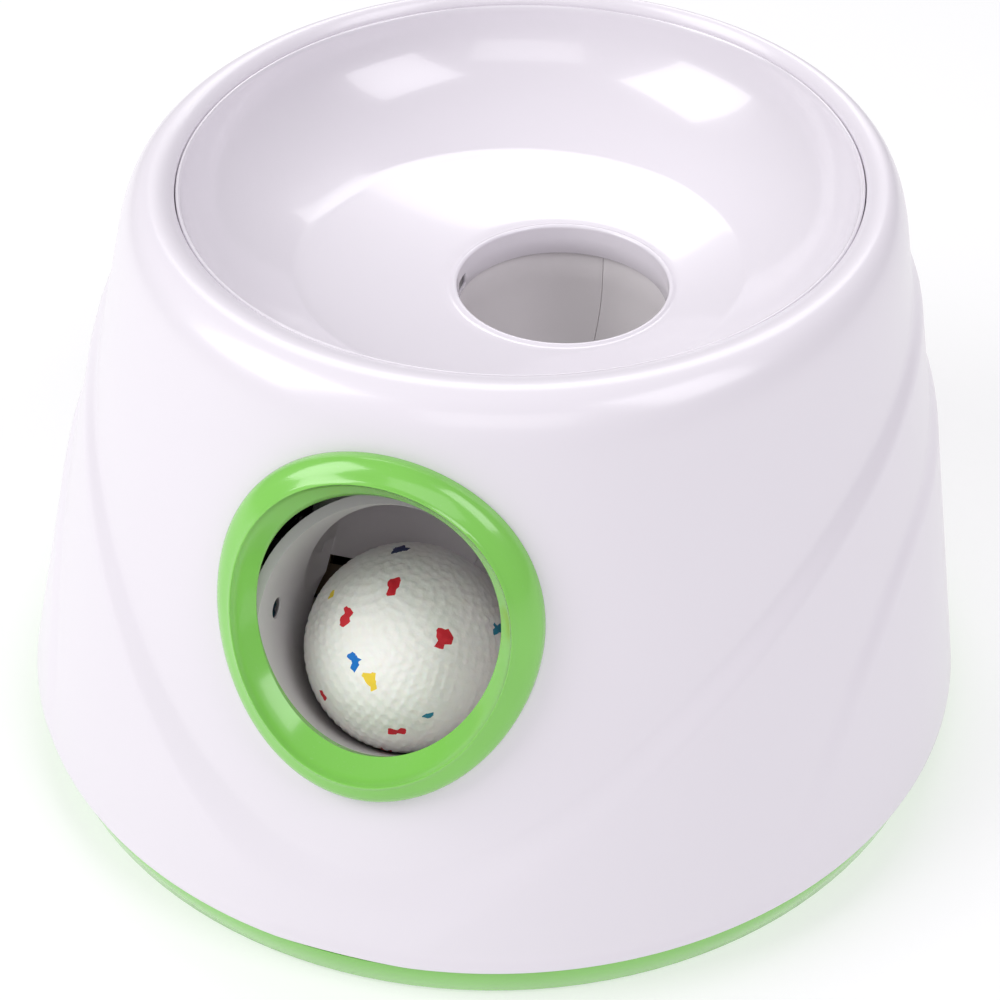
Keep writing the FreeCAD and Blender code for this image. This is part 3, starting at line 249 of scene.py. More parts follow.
def dust_group():
    """Thin dust and rubbed patches: Dust grows on surfaces that face up, Rub is a broken streak mask."""
    name = "Dust and rubbing"
    g = new_group(name, [("Vector", "NodeSocketVector", None), ("Amount", "NodeSocketFloat", 0.15)],
                  [("Dust", "NodeSocketFloat"), ("Rub", "NodeSocketFloat")])
    if g is None:
        return bpy.data.node_groups[name]
    inside = g.nodes.new("NodeGroupInput")
    outside = g.nodes.new("NodeGroupOutput")
    stretch = node(g, "ShaderNodeMapping")
    stretch.inputs["Scale"].default_value = (1.0, 1.0, 0.25)
    streak = node(g, "ShaderNodeTexNoise", Scale=160.0, Detail=5.0, Roughness=0.6)
    ramp = node(g, "ShaderNodeMapRange")
    ramp.inputs["From Min"].default_value = 0.52
    ramp.inputs["From Max"].default_value = 0.78
    specks = node(g, "ShaderNodeTexNoise", Scale=1400.0, Detail=3.0)
    speck_ramp = node(g, "ShaderNodeMapRange")
    speck_ramp.inputs["From Min"].default_value = 0.6
    speck_ramp.inputs["From Max"].default_value = 0.8
    facing = node(g, "ShaderNodeNewGeometry")
    split = node(g, "ShaderNodeSeparateXYZ")
    up = node(g, "ShaderNodeMath", operation="MAXIMUM")
    up.inputs[1].default_value = 0.0
    dust = node(g, "ShaderNodeMath", operation="MULTIPLY")
    dust_amount = node(g, "ShaderNodeMath", operation="MULTIPLY")
    rub_amount = node(g, "ShaderNodeMath", operation="MULTIPLY")
    g.links.new(inside.outputs["Vector"], stretch.inputs["Vector"])
    g.links.new(stretch.outputs["Vector"], streak.inputs["Vector"])
    g.links.new(streak.outputs["Fac"], ramp.inputs["Value"])
    g.links.new(inside.outputs["Vector"], specks.inputs["Vector"])
    g.links.new(specks.outputs["Fac"], speck_ramp.inputs["Value"])
    g.links.new(facing.outputs["Normal"], split.inputs["Vector"])
    g.links.new(split.outputs["Z"], up.inputs[0])
    g.links.new(up.outputs[0], dust.inputs[0])
    g.links.new(speck_ramp.outputs["Result"], dust.inputs[1])
    g.links.new(dust.outputs[0], dust_amount.inputs[0])
    g.links.new(inside.outputs["Amount"], dust_amount.inputs[1])
    g.links.new(ramp.outputs["Result"], rub_amount.inputs[0])
    g.links.new(inside.outputs["Amount"], rub_amount.inputs[1])
    g.links.new(dust_amount.outputs[0], outside.inputs["Dust"])
    g.links.new(rub_amount.outputs[0], outside.inputs["Rub"])
    return g


def place_group(tree, group, **values):
    """Copy of a shader group in a material, with its own values."""
    made = tree.nodes.new("ShaderNodeGroup")
    made.node_tree = group
    for key, value in values.items():
        made.inputs[key.replace("_", " ")].default_value = value
    return made


def mix_colour(tree, a, b, factor):
    """Mix of two colours or colour sockets by a factor socket."""
    made = node(tree, "ShaderNodeMix", data_type="RGBA")
    first, second, result = 6, 7, 2
    for index, value in ((first, a), (second, b)):
        if isinstance(value, bpy.types.NodeSocket):
            tree.links.new(value, made.inputs[index])
        else:
            made.inputs[index].default_value = (*value, 1.0)
    tree.links.new(factor, made.inputs[0])
    return made.outputs[result]


def moulded(name, light, dark, rough, grain, depth, drift, coat=0.0, coat_rough=0.05, metal=0.0,
            dust=0.12, subsurface=0.0, specular=0.5):
    """Material of a moulded, drawn or turned surface with drift, grain, dust and rubbing."""
    if name in bpy.data.materials:
        return bpy.data.materials[name]
    made = bpy.data.materials.new(name)
    made.use_nodes = True
    tree = made.node_tree
    shader = tree.nodes["Principled BSDF"]
    place = node(tree, "ShaderNodeTexCoord")
    grain_node = place_group(tree, grain_group(), Scale=grain, Drift_Scale=drift)
    dust_node = place_group(tree, dust_group(), Amount=dust)
    tree.links.new(place.outputs["Object"], grain_node.inputs["Vector"])
    tree.links.new(place.outputs["Object"], dust_node.inputs["Vector"])
    colour = mix_colour(tree, light, dark, grain_node.outputs["Drift"])
    colour = mix_colour(tree, colour, DUST, dust_node.outputs["Dust"])
    tree.links.new(colour, shader.inputs["Base Color"])
    roughness = node(tree, "ShaderNodeMapRange")
    roughness.inputs["To Min"].default_value = rough[0]
    roughness.inputs["To Max"].default_value = rough[1]
    blend = node(tree, "ShaderNodeMath", operation="MULTIPLY_ADD")
    blend.inputs[1].default_value = 0.6
    tree.links.new(grain_node.outputs["Drift"], blend.inputs[0])
    tree.links.new(dust_node.outputs["Rub"], blend.inputs[2])
    tree.links.new(blend.outputs[0], roughness.inputs["Value"])
    tree.links.new(roughness.outputs["Result"], shader.inputs["Roughness"])
    bump = node(tree, "ShaderNodeBump", Strength=0.6, Distance=depth)
    tree.links.new(grain_node.outputs["Height"], bump.inputs["Height"])
    tree.links.new(bump.outputs["Normal"], shader.inputs["Normal"])
    shader.inputs["Metallic"].default_value = metal
    shader.inputs["Coat Weight"].default_value = coat
    shader.inputs["Coat Roughness"].default_value = coat_rough
    shader.inputs["Specular IOR Level"].default_value = specular
    shader.inputs["Subsurface Weight"].default_value = subsurface
    shader.inputs["Subsurface Scale"].default_value = 0.002
    return made


def fleck_group():
    """Angular chip of coloured foam: Mask is 1 in the small cells whose middles lie near Centre."""
    name = "Coloured chip"
    g = new_group(name, [("Vector", "NodeSocketVector", None), ("Centre", "NodeSocketVector", None),
                         ("Size", "NodeSocketFloat", 0.0019)], [("Mask", "NodeSocketFloat")])
    if g is None:
        return bpy.data.node_groups[name]
    inside = g.nodes.new("NodeGroupInput")
    outside = g.nodes.new("NodeGroupOutput")
    cells = node(g, "ShaderNodeTexVoronoi", Scale=CHIP_CELLS, Randomness=1.0)
    apart = node(g, "ShaderNodeVectorMath", operation="DISTANCE")
    near = node(g, "ShaderNodeMath", operation="LESS_THAN")
    g.links.new(inside.outputs["Vector"], cells.inputs["Vector"])
    g.links.new(cells.outputs["Position"], apart.inputs[0])
    g.links.new(inside.outputs["Centre"], apart.inputs[1])
    g.links.new(apart.outputs["Value"], near.inputs[0])
    g.links.new(inside.outputs["Size"], near.inputs[1])
    g.links.new(near.outputs[0], outside.inputs["Mask"])
    return g


RED = (0.62, 0.015, 0.03)
BLUE = (0.0, 0.16, 0.55)
YELLOW = (0.86, 0.62, 0.05)
TEAL = (0.02, 0.22, 0.33)
NAVY = (0.02, 0.03, 0.12)

# Coloured chips on the side of the ball that shows in the port: direction from its middle, colour, size
SHOWN_CHIPS = [((-0.055, -0.245, 0.968), RED, 1.7), ((-0.42, -0.52, 0.744), RED, 1.9),
               ((0.516, -0.487, 0.704), RED, 2.4), ((0.162, -0.979, -0.122), RED, 1.8),
               ((-0.587, -0.81, -0.01), RED, 1.6), ((-0.236, -0.817, 0.526), BLUE, 2.1),
               ((-0.062, -0.918, 0.392), YELLOW, 2.1), ((-0.682, -0.239, 0.691), YELLOW, 1.4),
               ((0.478, -0.875, 0.075), TEAL, 1.1), ((-0.19, 0.317, 0.929), NAVY, 1.7)]
HIDDEN_TINTS = (RED, BLUE, YELLOW, RED, TEAL)
CHIP_SPREAD = 0.86


def foam_material(centre):
    """Off-white foamed beads with scattered coloured chips."""
    made = moulded("Foamed bead", (0.9, 0.885, 0.855), (0.84, 0.825, 0.79), rough=(0.5, 0.72), grain=1500.0,
                   depth=0.00012, drift=140.0, dust=0.05, subsurface=0.12, specular=0.35)
    tree = made.node_tree
    shader = tree.nodes["Principled BSDF"]
    place = [n for n in tree.nodes if n.bl_idname == "ShaderNodeTexCoord"][0]
    colour = shader.inputs["Base Color"].links[0].from_socket
    chips = list(SHOWN_CHIPS)
    hidden = np.random.default_rng(CHIP_SEED)
    while len(chips) < CHIP_COUNT:
        direction = hidden.normal(size=3)
        direction /= np.linalg.norm(direction)
        if all(np.dot(direction, other[0]) < CHIP_SPREAD for other in chips):
            tint = HIDDEN_TINTS[len(chips) % len(HIDDEN_TINTS)]
            chips.append((tuple(direction), tint, HIDDEN_CHIP_SIZE))
    for direction, tint, size in chips:
        chip = place_group(tree, fleck_group(), Size=size * MM)
        spot = Vector(centre) + Vector(direction) * BALL_RADIUS * MM
        chip.inputs["Centre"].default_value = spot
        tree.links.new(place.outputs["Object"], chip.inputs["Vector"])
        colour = mix_colour(tree, colour, tint, chip.outputs["Mask"])
    tree.links.new(colour, shader.inputs["Base Color"])
    return made


def shade(colour, share):
    """Colour darkened to a share of itself."""
    return tuple(c * share for c in colour)


def white_housing():
    white = tuple(bpy.context.scene.launcher_housing.white)
    return moulded("Glossy white housing", white, shade(white, 0.965), (0.26, 0.34), 700, 0.000006, 9.0,
                   coat=0.3, coat_rough=0.14, dust=0.06)


def white_bowl():
    white = tuple(bpy.context.scene.launcher_housing.white)
    return moulded("Glossy white bowl", shade(white, 0.99), shade(white, 0.93), (0.2, 0.28), 700,
                   0.000008, 12.0, coat=0.5, coat_rough=0.06, dust=0.08)


def green_trim():
    green = tuple(bpy.context.scene.launcher_housing.green)
    return moulded("Glossy green trim", green, shade(green, 0.8), (0.16, 0.28), 800, 0.00001, 26.0,
                   coat=0.35, coat_rough=0.06, dust=0.08)


def foamed_bead():
    low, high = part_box("ball")
    return foam_material((low + high) / 2)


OWN_FINISHES = {"shell_white": white_housing, "bowl_white": white_bowl, "green": green_trim,
                "foam": foamed_bead}

# The plain finishes by slot: name, light and dark colour, roughness from and to, grain scale,
# grain depth in metres, drift scale, and what else differs
FINISHES = {
    "barrel_grey": ("Satin grey barrel", (0.72, 0.69, 0.7), (0.64, 0.61, 0.62), (0.3, 0.42),
                    1100, 0.00002, 30.0, {"dust": 0.1}),
    "cradle_tan": ("Tan breech plate", (0.30, 0.21, 0.14), (0.2, 0.13, 0.08), (0.4, 0.55),
                   1000, 0.00003, 40.0, {"dust": 0.15}),
    "gear_nylon": ("Natural nylon", (0.72, 0.70, 0.62), (0.62, 0.59, 0.5), (0.35, 0.5),
                   1200, 0.00002, 60.0, {"subsurface": 0.1}),
    "gear_dark": ("Dark gearbox plastic", (0.035, 0.036, 0.04), (0.022, 0.023, 0.026), (0.4, 0.55),
                  1300, 0.00003, 45.0, {}),
    "steel": ("Drawn steel", (0.56, 0.55, 0.54), (0.42, 0.41, 0.41), (0.25, 0.42),
              1600, 0.00001, 90.0, {"metal": 1.0, "dust": 0.1}),
    "brass": ("Turned brass", (0.72, 0.5, 0.2), (0.56, 0.37, 0.13), (0.22, 0.38),
              1600, 0.00001, 80.0, {"metal": 1.0, "dust": 0.1}),
    "rubber_dark": ("Black rubber", (0.028, 0.028, 0.03), (0.018, 0.018, 0.02), (0.6, 0.8),
                    1500, 0.00006, 60.0, {"dust": 0.3}),
    "board_green": ("Board solder mask", (0.01, 0.13, 0.05), (0.006, 0.09, 0.035), (0.25, 0.4),
                    1300, 0.00001, 120.0, {}),
    "parts_black": ("Black moulding", (0.025, 0.025, 0.028), (0.015, 0.015, 0.017), (0.3, 0.45),
                    1400, 0.00003, 70.0, {}),
    "cell_jacket": ("Plain cell jacket", (0.02, 0.022, 0.03), (0.012, 0.013, 0.018), (0.15, 0.3),
                    900, 0.00001, 50.0, {"coat": 0.3}),
    "panel_grey": ("Grey control panel", (0.075, 0.078, 0.085), (0.055, 0.057, 0.063), (0.42, 0.55),
                   1500, 0.00005, 50.0, {}),
    "lens_dark": ("Dark lens", (0.012, 0.006, 0.012), (0.006, 0.003, 0.006), (0.05, 0.1),
                  600, 0.000002, 40.0, {"coat": 0.5, "dust": 0.03}),
    "lens_clear": ("Milky lens", (0.7, 0.76, 0.6), (0.6, 0.66, 0.5), (0.1, 0.2),
                   600, 0.000004, 60.0, {"coat": 0.5, "dust": 0.03, "subsurface": 0.2}),
}


def finish_for(slot_name):
    """Material for one of the record's slots."""
    if slot_name in OWN_FINISHES:
        return OWN_FINISHES[slot_name]()
    *values, extra = FINISHES[slot_name]
    return moulded(*values, **extra)


# Mesh helpers

def new_object(name, mesh):
    """Object at the origin with the mesh."""
    made = bpy.data.objects.new(name, mesh)
    bpy.context.scene.collection.objects.link(made)
    return made


def shade_smooth(piece, sharp_deg):
    """Smooth shading that keeps the edges sharper than the angle."""
    piece.data.polygons.foreach_set("use_smooth", [True] * len(piece.data.polygons))
    piece.data.set_sharp_from_angle(angle=math.radians(sharp_deg))


def new_piece(name, verts, faces, slot_name):
    """Mesh object from points in metres, with its finish and its faces outwards."""
    mesh = bpy.data.meshes.new(name)
    mesh.from_pydata([tuple(v) for v in verts], [], faces)
    mesh.validate()
    made = new_object(name, mesh)
    mesh.materials.append(finish_for(slot_name))
    face_outwards(made)
    return made


def grid_faces(rows, columns, close_rows=False):
    """Quads of a grid that wraps round its columns, and over its rows where it is a closed ring."""
    faces = []
    last = rows if close_rows else rows - 1
    for i in range(last):
        a = i * columns
        b = ((i + 1) % rows) * columns
        for j in range(columns):
            k = (j + 1) % columns
            faces.append((a + j, a + k, b + k, b + j))
    return faces


def settle(piece, body, node_name):
    """Hand the finished piece to the frame: it rides, has a slot and stands for its node."""
    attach(piece, body)
    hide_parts(node_name)


def face_outwards(piece):
    """Merge the mesh's doubles and turn its faces outwards."""
    bm = bmesh.new()
    bm.from_mesh(piece.data)
    bmesh.ops.remove_doubles(bm, verts=bm.verts, dist=1e-7)
    bmesh.ops.recalc_face_normals(bm, faces=bm.faces)
    bm.to_mesh(piece.data)
    bm.free()


def apply_modifiers(piece):
    """The evaluated mesh becomes the piece's own, and its modifiers go."""
    graph = bpy.context.evaluated_depsgraph_get()
    mesh = bpy.data.meshes.new_from_object(piece.evaluated_get(graph))
    old = piece.data
    piece.modifiers.clear()
    piece.data = mesh
    bpy.data.meshes.remove(old)


def cut_away(piece, cutter):
    """Remove the cutter's volume from the piece."""
    cut = piece.modifiers.new("Cut", "BOOLEAN")
    cut.operation = "DIFFERENCE"
    cut.solver = "EXACT"
    cut.object = cutter
    apply_modifiers(piece)
    bpy.data.objects.remove(cutter)


def prism(name, outline, direction, length):
    """Straight block from a closed outline of points along a direction."""
    start = [Vector(p) for p in outline]
    end = [p + Vector(direction) * length for p in start]
    count = len(start)
    faces = [tuple(range(count)), tuple(range(2 * count - 1, count - 1, -1))]
    faces += [(i, count + i, count + (i + 1) % count, (i + 1) % count) for i in range(count)]
    mesh = bpy.data.meshes.new(name)
    mesh.from_pydata([tuple(v) for v in start + end], [], faces)
    made = new_object(name, mesh)
    face_outwards(made)
    return made


def softened_copy(node_name, body, slot_name, bevel, angle=35.0, segments=2):
    """Copy of a packed node with merged points, broken edges and smooth curved faces."""
    bm = bmesh.new()
    bm.from_mesh(frame["nodes"][node_name].data)
    bmesh.ops.remove_doubles(bm, verts=bm.verts, dist=2e-6)
    bmesh.ops.dissolve_limit(bm, angle_limit=math.radians(0.6), verts=bm.verts, edges=bm.edges)
    mesh = bpy.data.meshes.new(node_name + "_finished")
    bm.to_mesh(mesh)
    bm.free()
    made = new_object(node_name + "_finished", mesh)
    mesh.materials.clear()
    mesh.materials.append(finish_for(slot_name))
    if bevel > 0:
        edge = made.modifiers.new("Broken edges", "BEVEL")
        edge.width = bevel * MM
        edge.segments = segments
        edge.limit_method = "ANGLE"
        edge.angle_limit = math.radians(angle)
        edge.use_clamp_overlap = True
        apply_modifiers(made)
    shade_smooth(made, 30.0)
    settle(made, body, node_name)
    return made


# Shape of the wall

def ledge_side(line, y, z):
    """Distance of each (y, z) below the swept line, in millimetres."""
    points = np.array(line, float)
    t = np.linspace(0, len(points) - 1, LEDGE_SAMPLES)
    keys = np.arange(len(points))
    smooth_y = np.interp(t, keys, points[:, 0])
    smooth_z = np.interp(t, keys, points[:, 1])
    kernel = np.ones(LEDGE_SMOOTHING) / LEDGE_SMOOTHING
    padded_y = np.pad(smooth_y, LEDGE_SMOOTHING // 2, mode="edge")
    padded_z = np.pad(smooth_z, LEDGE_SMOOTHING // 2, mode="edge")
    smooth_y = np.convolve(padded_y, kernel, "valid")
    smooth_z = np.convolve(padded_z, kernel, "valid")
    ay, az = smooth_y[:-1], smooth_z[:-1]
    dy, dz = np.diff(smooth_y), np.diff(smooth_z)
    tiny = 1e-12
    size = dy * dy + dz * dz + tiny
    flat_y, flat_z = y.ravel()[:, None], z.ravel()[:, None]
    along = np.clip(((flat_y - ay) * dy + (flat_z - az) * dz) / size, 0, 1)
    gap = np.hypot(flat_y - ay - along * dy, flat_z - az - along * dz)
    nearest = gap.argmin(1)
    rows = np.arange(len(nearest))
    cross = dy[nearest] * (flat_z[:, 0] - az[nearest]) - dz[nearest] * (flat_y[:, 0] - ay[nearest])
    return (np.sign(cross) * gap[rows, nearest]).reshape(y.shape)


def ramp(distance, width):
    """0 above the ledge, 1 below it, with an even slope and small rounded ends."""
    t = np.clip(distance / width + 0.5, 0, 1)
    soft = t * t * (3 - 2 * t)
    rounding = 0.45
    return (1 - rounding) * t + rounding * soft


def radius_of(radii, z):
    """Radius at height z of a panel with the given radii at its foot and its top."""
    return radii[0] + (radii[1] - radii[0]) * (z - EDGE_Z) / PANEL_HEIGHT


def wall_radius(theta, z, width):
    """Radius of the housing's outside before the lean."""
    base = radius_of(PORT_RADII, z)
    front = radius_of(FRONT_RADII, z)
    side = radius_of(SIDE_RADII, z)
    y = front * np.sin(theta)
    first = ramp(ledge_side(UPPER_LEDGE, y, z), width)
    second = ramp(ledge_side(LOWER_LEDGE, y, z), width)
    band = 4.0
    flare = 0.8
    foot = np.clip((EDGE_Z + band - z) / band, 0, 1)
    return base + (front - base) * first + (side - front) * second + flare * (1 - second) * foot * foot


def lean_y(z):
    """How far the housing leans back at height z."""
    return LEAN * (z - EDGE_Z)


def seam_z(y):
    """Height of the seam between housing and bowl."""
    return SEAM_Z + SEAM_TILT * (y - SEAM_CENTRE_Y)


def wall_y(x, z):
    """Front of the port panel at height z."""
    radius = radius_of(PORT_RADII, z)
    return lean_y(z) - math.sqrt(max(radius * radius - x * x, 0.0))


PORT = Vector((0, wall_y(0.0, PORT_Z), PORT_Z))
WALL_TILT = math.atan(LEAN + (PORT_RADII[0] - PORT_RADII[1]) / PANEL_HEIGHT)
WALL_NORMAL = Vector((0, -math.cos(WALL_TILT), math.sin(WALL_TILT)))
WALL_UP = Vector((0, math.sin(WALL_TILT), math.cos(WALL_TILT)))
INWARD = Vector((0, math.cos(BARREL_RISE), -math.sin(BARREL_RISE)))
UPWARD = Vector((0, math.sin(BARREL_RISE), math.cos(BARREL_RISE)))


def ellipse(centre, half_width, half_height, count):
    """Points of an ellipse in the plane of the port panel."""
    turns = [2 * math.pi * i / count for i in range(count)]
    return [centre + Vector((half_width * math.cos(a), 0, 0)) + WALL_UP * (half_height * math.sin(a))
            for a in turns]


def rear_hole():
    """Block that cuts the opening of the rear control panel."""
    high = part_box("rear_panel")[1]
    tilt = math.atan((SIDE_RADII[0] - SIDE_RADII[1]) / PANEL_HEIGHT - LEAN)
    out = Vector((0, math.cos(tilt), math.sin(tilt)))
    up = Vector((0, -math.sin(tilt), math.cos(tilt)))
    centre = Vector((0, high.y, REAR_PANEL_Z * MM))
    reach = 0.02
    squareness = 0.14
    count = 48
    corners = []
    for i in range(count):
        a = 2 * math.pi * i / count
        x = math.copysign(abs(math.cos(a)) ** squareness, math.cos(a)) * REAR_HOLE[0] * MM
        z = math.copysign(abs(math.sin(a)) ** squareness, math.sin(a)) * REAR_HOLE[1] * MM
        corners.append(centre - out * reach + Vector((x, 0, 0)) + up * z)
    return prism("panel_cut", corners, out, 2 * reach)


def wall_row(radius, theta, z):
    """Points round the housing at height z."""
    return np.stack([radius * np.cos(theta), radius * np.sin(theta) + lean_y(z), np.full(len(theta), z)], 1)


def rim_rows(top, slope, seam):
    """Rolled rim from the top row of the wall over to the seam."""
    rise = 3.1
    bulge = 1.6
    ridge = seam[:, 2] + rise
    corner = top + slope * (ridge - top[:, 2] + 1.2)[:, None]
    half = top + slope * ((ridge - top[:, 2]) * 0.55)[:, None]
    crest = corner * 0.5 + seam * 0.5
    crest[:, 2] = ridge + bulge
    near = corner * 0.14 + seam * 0.86
    near[:, 2] = seam[:, 2] + 2.4
    rows = []
    for t in np.linspace(0, 1, 27)[1:]:
        s = 1 - t
        rows.append((s ** 5 * top.T + 5 * s ** 4 * t * half.T + 10 * s ** 3 * t ** 2 * corner.T
                     + 10 * s ** 2 * t ** 3 * crest.T + 5 * s * t ** 4 * near.T + t ** 5 * seam.T).T)
    return rows


def make_housing():
    """Leaning housing with two swept ledges on each side, a rolled rim and a thin wall."""
    settings = bpy.context.scene.launcher_housing
    columns = settings.columns
    width = settings.ledge_width / MM
    theta = np.linspace(0, 2 * np.pi, columns, endpoint=False)
    first_level = EDGE_Z + 1.1
    levels = np.concatenate([[EDGE_Z + 0.12, EDGE_Z + 0.45], np.linspace(first_level, PANEL_TOP_Z, 104)])
    grid_theta, grid_z = np.meshgrid(theta, levels)
    radius = wall_radius(grid_theta, grid_z, width)
    radius[0] -= 0.3
    radius[1] -= 0.06
    rows = [wall_row(radius[i], theta, z) for i, z in enumerate(levels)]
    seam = np.stack([(SEAM_RADIUS + SEAM_GAP) * np.cos(theta),
                     SEAM_CENTRE_Y + (SEAM_RADIUS + SEAM_GAP) * np.sin(theta), np.zeros(columns)], 1)
    seam[:, 2] = seam_z(seam[:, 1])
    slope = rows[-1] - rows[-2]
    slope /= slope[:, 2:3]
    rows += rim_rows(rows[-1], slope, seam)
    rows += [seam - np.array([0, 0, drop]) for drop in (1.4, 3.2)]
    for z in (133.0, 120.0, 100.0, 80.0, 60.0, 40.0, 25.0, EDGE_Z + 0.1):
        rows.append(wall_row(wall_radius(theta, np.full(columns, z), width) - WALL, theta, z))
    verts = np.concatenate(rows) * MM
    piece = new_piece("outer_housing", verts, grid_faces(len(rows), columns, close_rows=True), "shell_white")
    inside = PORT - WALL_NORMAL * 22
    port_cut = ellipse(inside * MM, PORT_HOLE[0] * MM, PORT_HOLE[1] * MM, 128)
    cut_away(piece, prism("port_cut", port_cut, WALL_NORMAL, CUTTER_REACH * MM))
    cut_away(piece, rear_hole())
    shade_smooth(piece, 42.0)
    settle(piece, "housing", "outer_shell")


def make_port_ring():
    """Ring with a raised bead that follows the wall outside and flares into the barrel's bore."""
    settings = bpy.context.scene.launcher_port
    wide = settings.half_width / MM
    tall = settings.half_height / MM
    proud = settings.proud / MM
    count = 224
    inner_tall = BORE_RADIUS / math.cos(BARREL_RISE - WALL_TILT)
    section = [(wide - inset, tall - inset, lift * proud / RING_HEIGHT) for inset, lift in RING_PROFILE]
    clearance = 0.05
    outer_wide = wide - FLARE_INSET
    outer_tall = tall - FLARE_INSET
    for share in (0.25, 0.5, 0.75, 0.92, 1.0):
        x = outer_wide + (BORE_RADIUS + clearance - outer_wide) * share
        y = outer_tall + (inner_tall + clearance - outer_tall) * share
        section.append((x, y, proud - FLARE_DROP - (proud + 0.2) * share ** 0.9))
    rows = []
    for half_width, half_height, lift in section:
        row = []
        for i in range(count):
            a = 2 * math.pi * i / count
            x = half_width * math.cos(a)
            z = PORT_Z + half_height * math.sin(a) * math.cos(WALL_TILT)
            row.append(Vector((x, wall_y(x, z), z)) + WALL_NORMAL * lift)
        rows.append(row)
    inner, back, outside = [], [], []
    for i, point in enumerate(rows[-1]):
        lift = (point - PORT).dot(WALL_NORMAL)
        run = max(0.3, (lift + SLEEVE_DEPTH) / math.cos(BARREL_RISE - WALL_TILT))
        inner.append(point + INWARD * run)
        a = 2 * math.pi * i / count
        x = (wide - RING_SKIRT) * math.cos(a)
        z = PORT_Z + (tall - RING_SKIRT) * math.sin(a) * math.cos(WALL_TILT)
        skirt = Vector((x, wall_y(x, z), z))
        back.append(skirt - WALL_NORMAL * SLEEVE_DEPTH)
        outside.append(skirt + WALL_NORMAL * 0.1)
    rows += [inner, back, outside]
    verts = [p * MM for row in rows for p in row]
    piece = new_piece("port_ring", verts, grid_faces(len(rows), count, close_rows=True), "green")
    shade_smooth(piece, 38.0)
    settle(piece, "housing", "launch_bezel")


def make_bowl():
    """Glossy dish from the collar of its drop hole over the floor and the knee up to the seam."""
    count = 288
    theta = np.linspace(0, 2 * np.pi, count, endpoint=False)
    ring = np.stack([np.cos(theta), np.sin(theta)], 1)
    hole = np.array(HOLE_CENTRE)
    middle = np.array([0.0, SEAM_CENTRE_Y])
    rows = []

    def circle(centre, radius, z):
        xy = centre + ring * radius
        rows.append(np.column_stack([xy, np.broadcast_to(z, (count,))]))

    floor = BOWL_FLOOR_Z
    knee = BOWL_KNEE_RADIUS
    circle(hole, HOLE_RADIUS + 1.9, floor - 8.0)
    circle(hole, HOLE_RADIUS + 0.3, floor - 8.0)
    circle(hole, HOLE_RADIUS, floor - 7.7)
    circle(hole, HOLE_RADIUS, floor - 3.0)
    circle(hole, HOLE_RADIUS + 0.02, floor - 0.2)
    bead = 0.75
    for a in np.radians([20, 45, 70, 90, 115, 150]):
        circle(hole, HOLE_RADIUS + bead - bead * math.cos(a), floor - 0.1 + bead * math.sin(a))
    for t in np.linspace(0.03, 1, 16):
        xy = (hole + ring * (HOLE_RADIUS + 1.6)) * (1 - t) + (middle + ring * (knee - 1.2)) * t
        rows.append(np.column_stack([xy, np.full(count, floor + 0.1 + 4.4 * t ** 1.15)]))
    lip = SEAM_RADIUS - 0.9
    start = np.array([knee - 0.2, floor + 4.9])
    bend = np.array([knee + 13.0, floor + 11.5])
    rise = np.array([SEAM_RADIUS - 2.6, SEAM_Z - 13.0])
    end = np.array([lip, SEAM_Z - 0.35])
    for t in np.linspace(0, 1, 30):
        s = 1 - t
        r, z = s ** 3 * start + 3 * s * s * t * bend + 3 * s * t * t * rise + t ** 3 * end
        share = (z - floor) / (SEAM_Z - floor)
        xy = middle + ring * r
        rows.append(np.column_stack([xy, z + SEAM_TILT * (xy[:, 1] - middle[1]) * share ** 2]))
    for dr, dz in ((0.25, 0.0), (0.55, -0.02), (0.8, -0.2), (0.9, -0.5), (0.9, -3.0), (-0.4, -5.5)):
        xy = middle + ring * (lip + dr)
        rows.append(np.column_stack([xy, SEAM_Z - 0.15 + dz + SEAM_TILT * (xy[:, 1] - middle[1])]))
    for r, z in ((77.0, 124.0), (70.0, 114.5), (knee, floor + 2.3)):
        circle(middle, r, z)
    circle(hole, HOLE_RADIUS + 3.0, floor - 2.2)
    circle(hole, HOLE_RADIUS + 2.0, floor - 3.0)
    verts = np.concatenate(rows) * MM
    piece = new_piece("ball_bowl", verts, grid_faces(len(rows), count, close_rows=True), "bowl_white")
    low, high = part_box("drop_sensor_lens")
    play = 0.0002
    x0, x1 = low.x - 0.003, high.x + 0.004
    y0, y1 = low.y - play, high.y + play
    outline = [Vector((x, y, low.z - play)) for x, y in ((x0, y0), (x1, y0), (x1, y1), (x0, y1))]
    cut_away(piece, prism("sensor_window", outline, Vector((0, 0, 1)), high.z - low.z + 2 * play))
    shade_smooth(piece, 48.0)
    settle(piece, "housing", "drop_bowl")


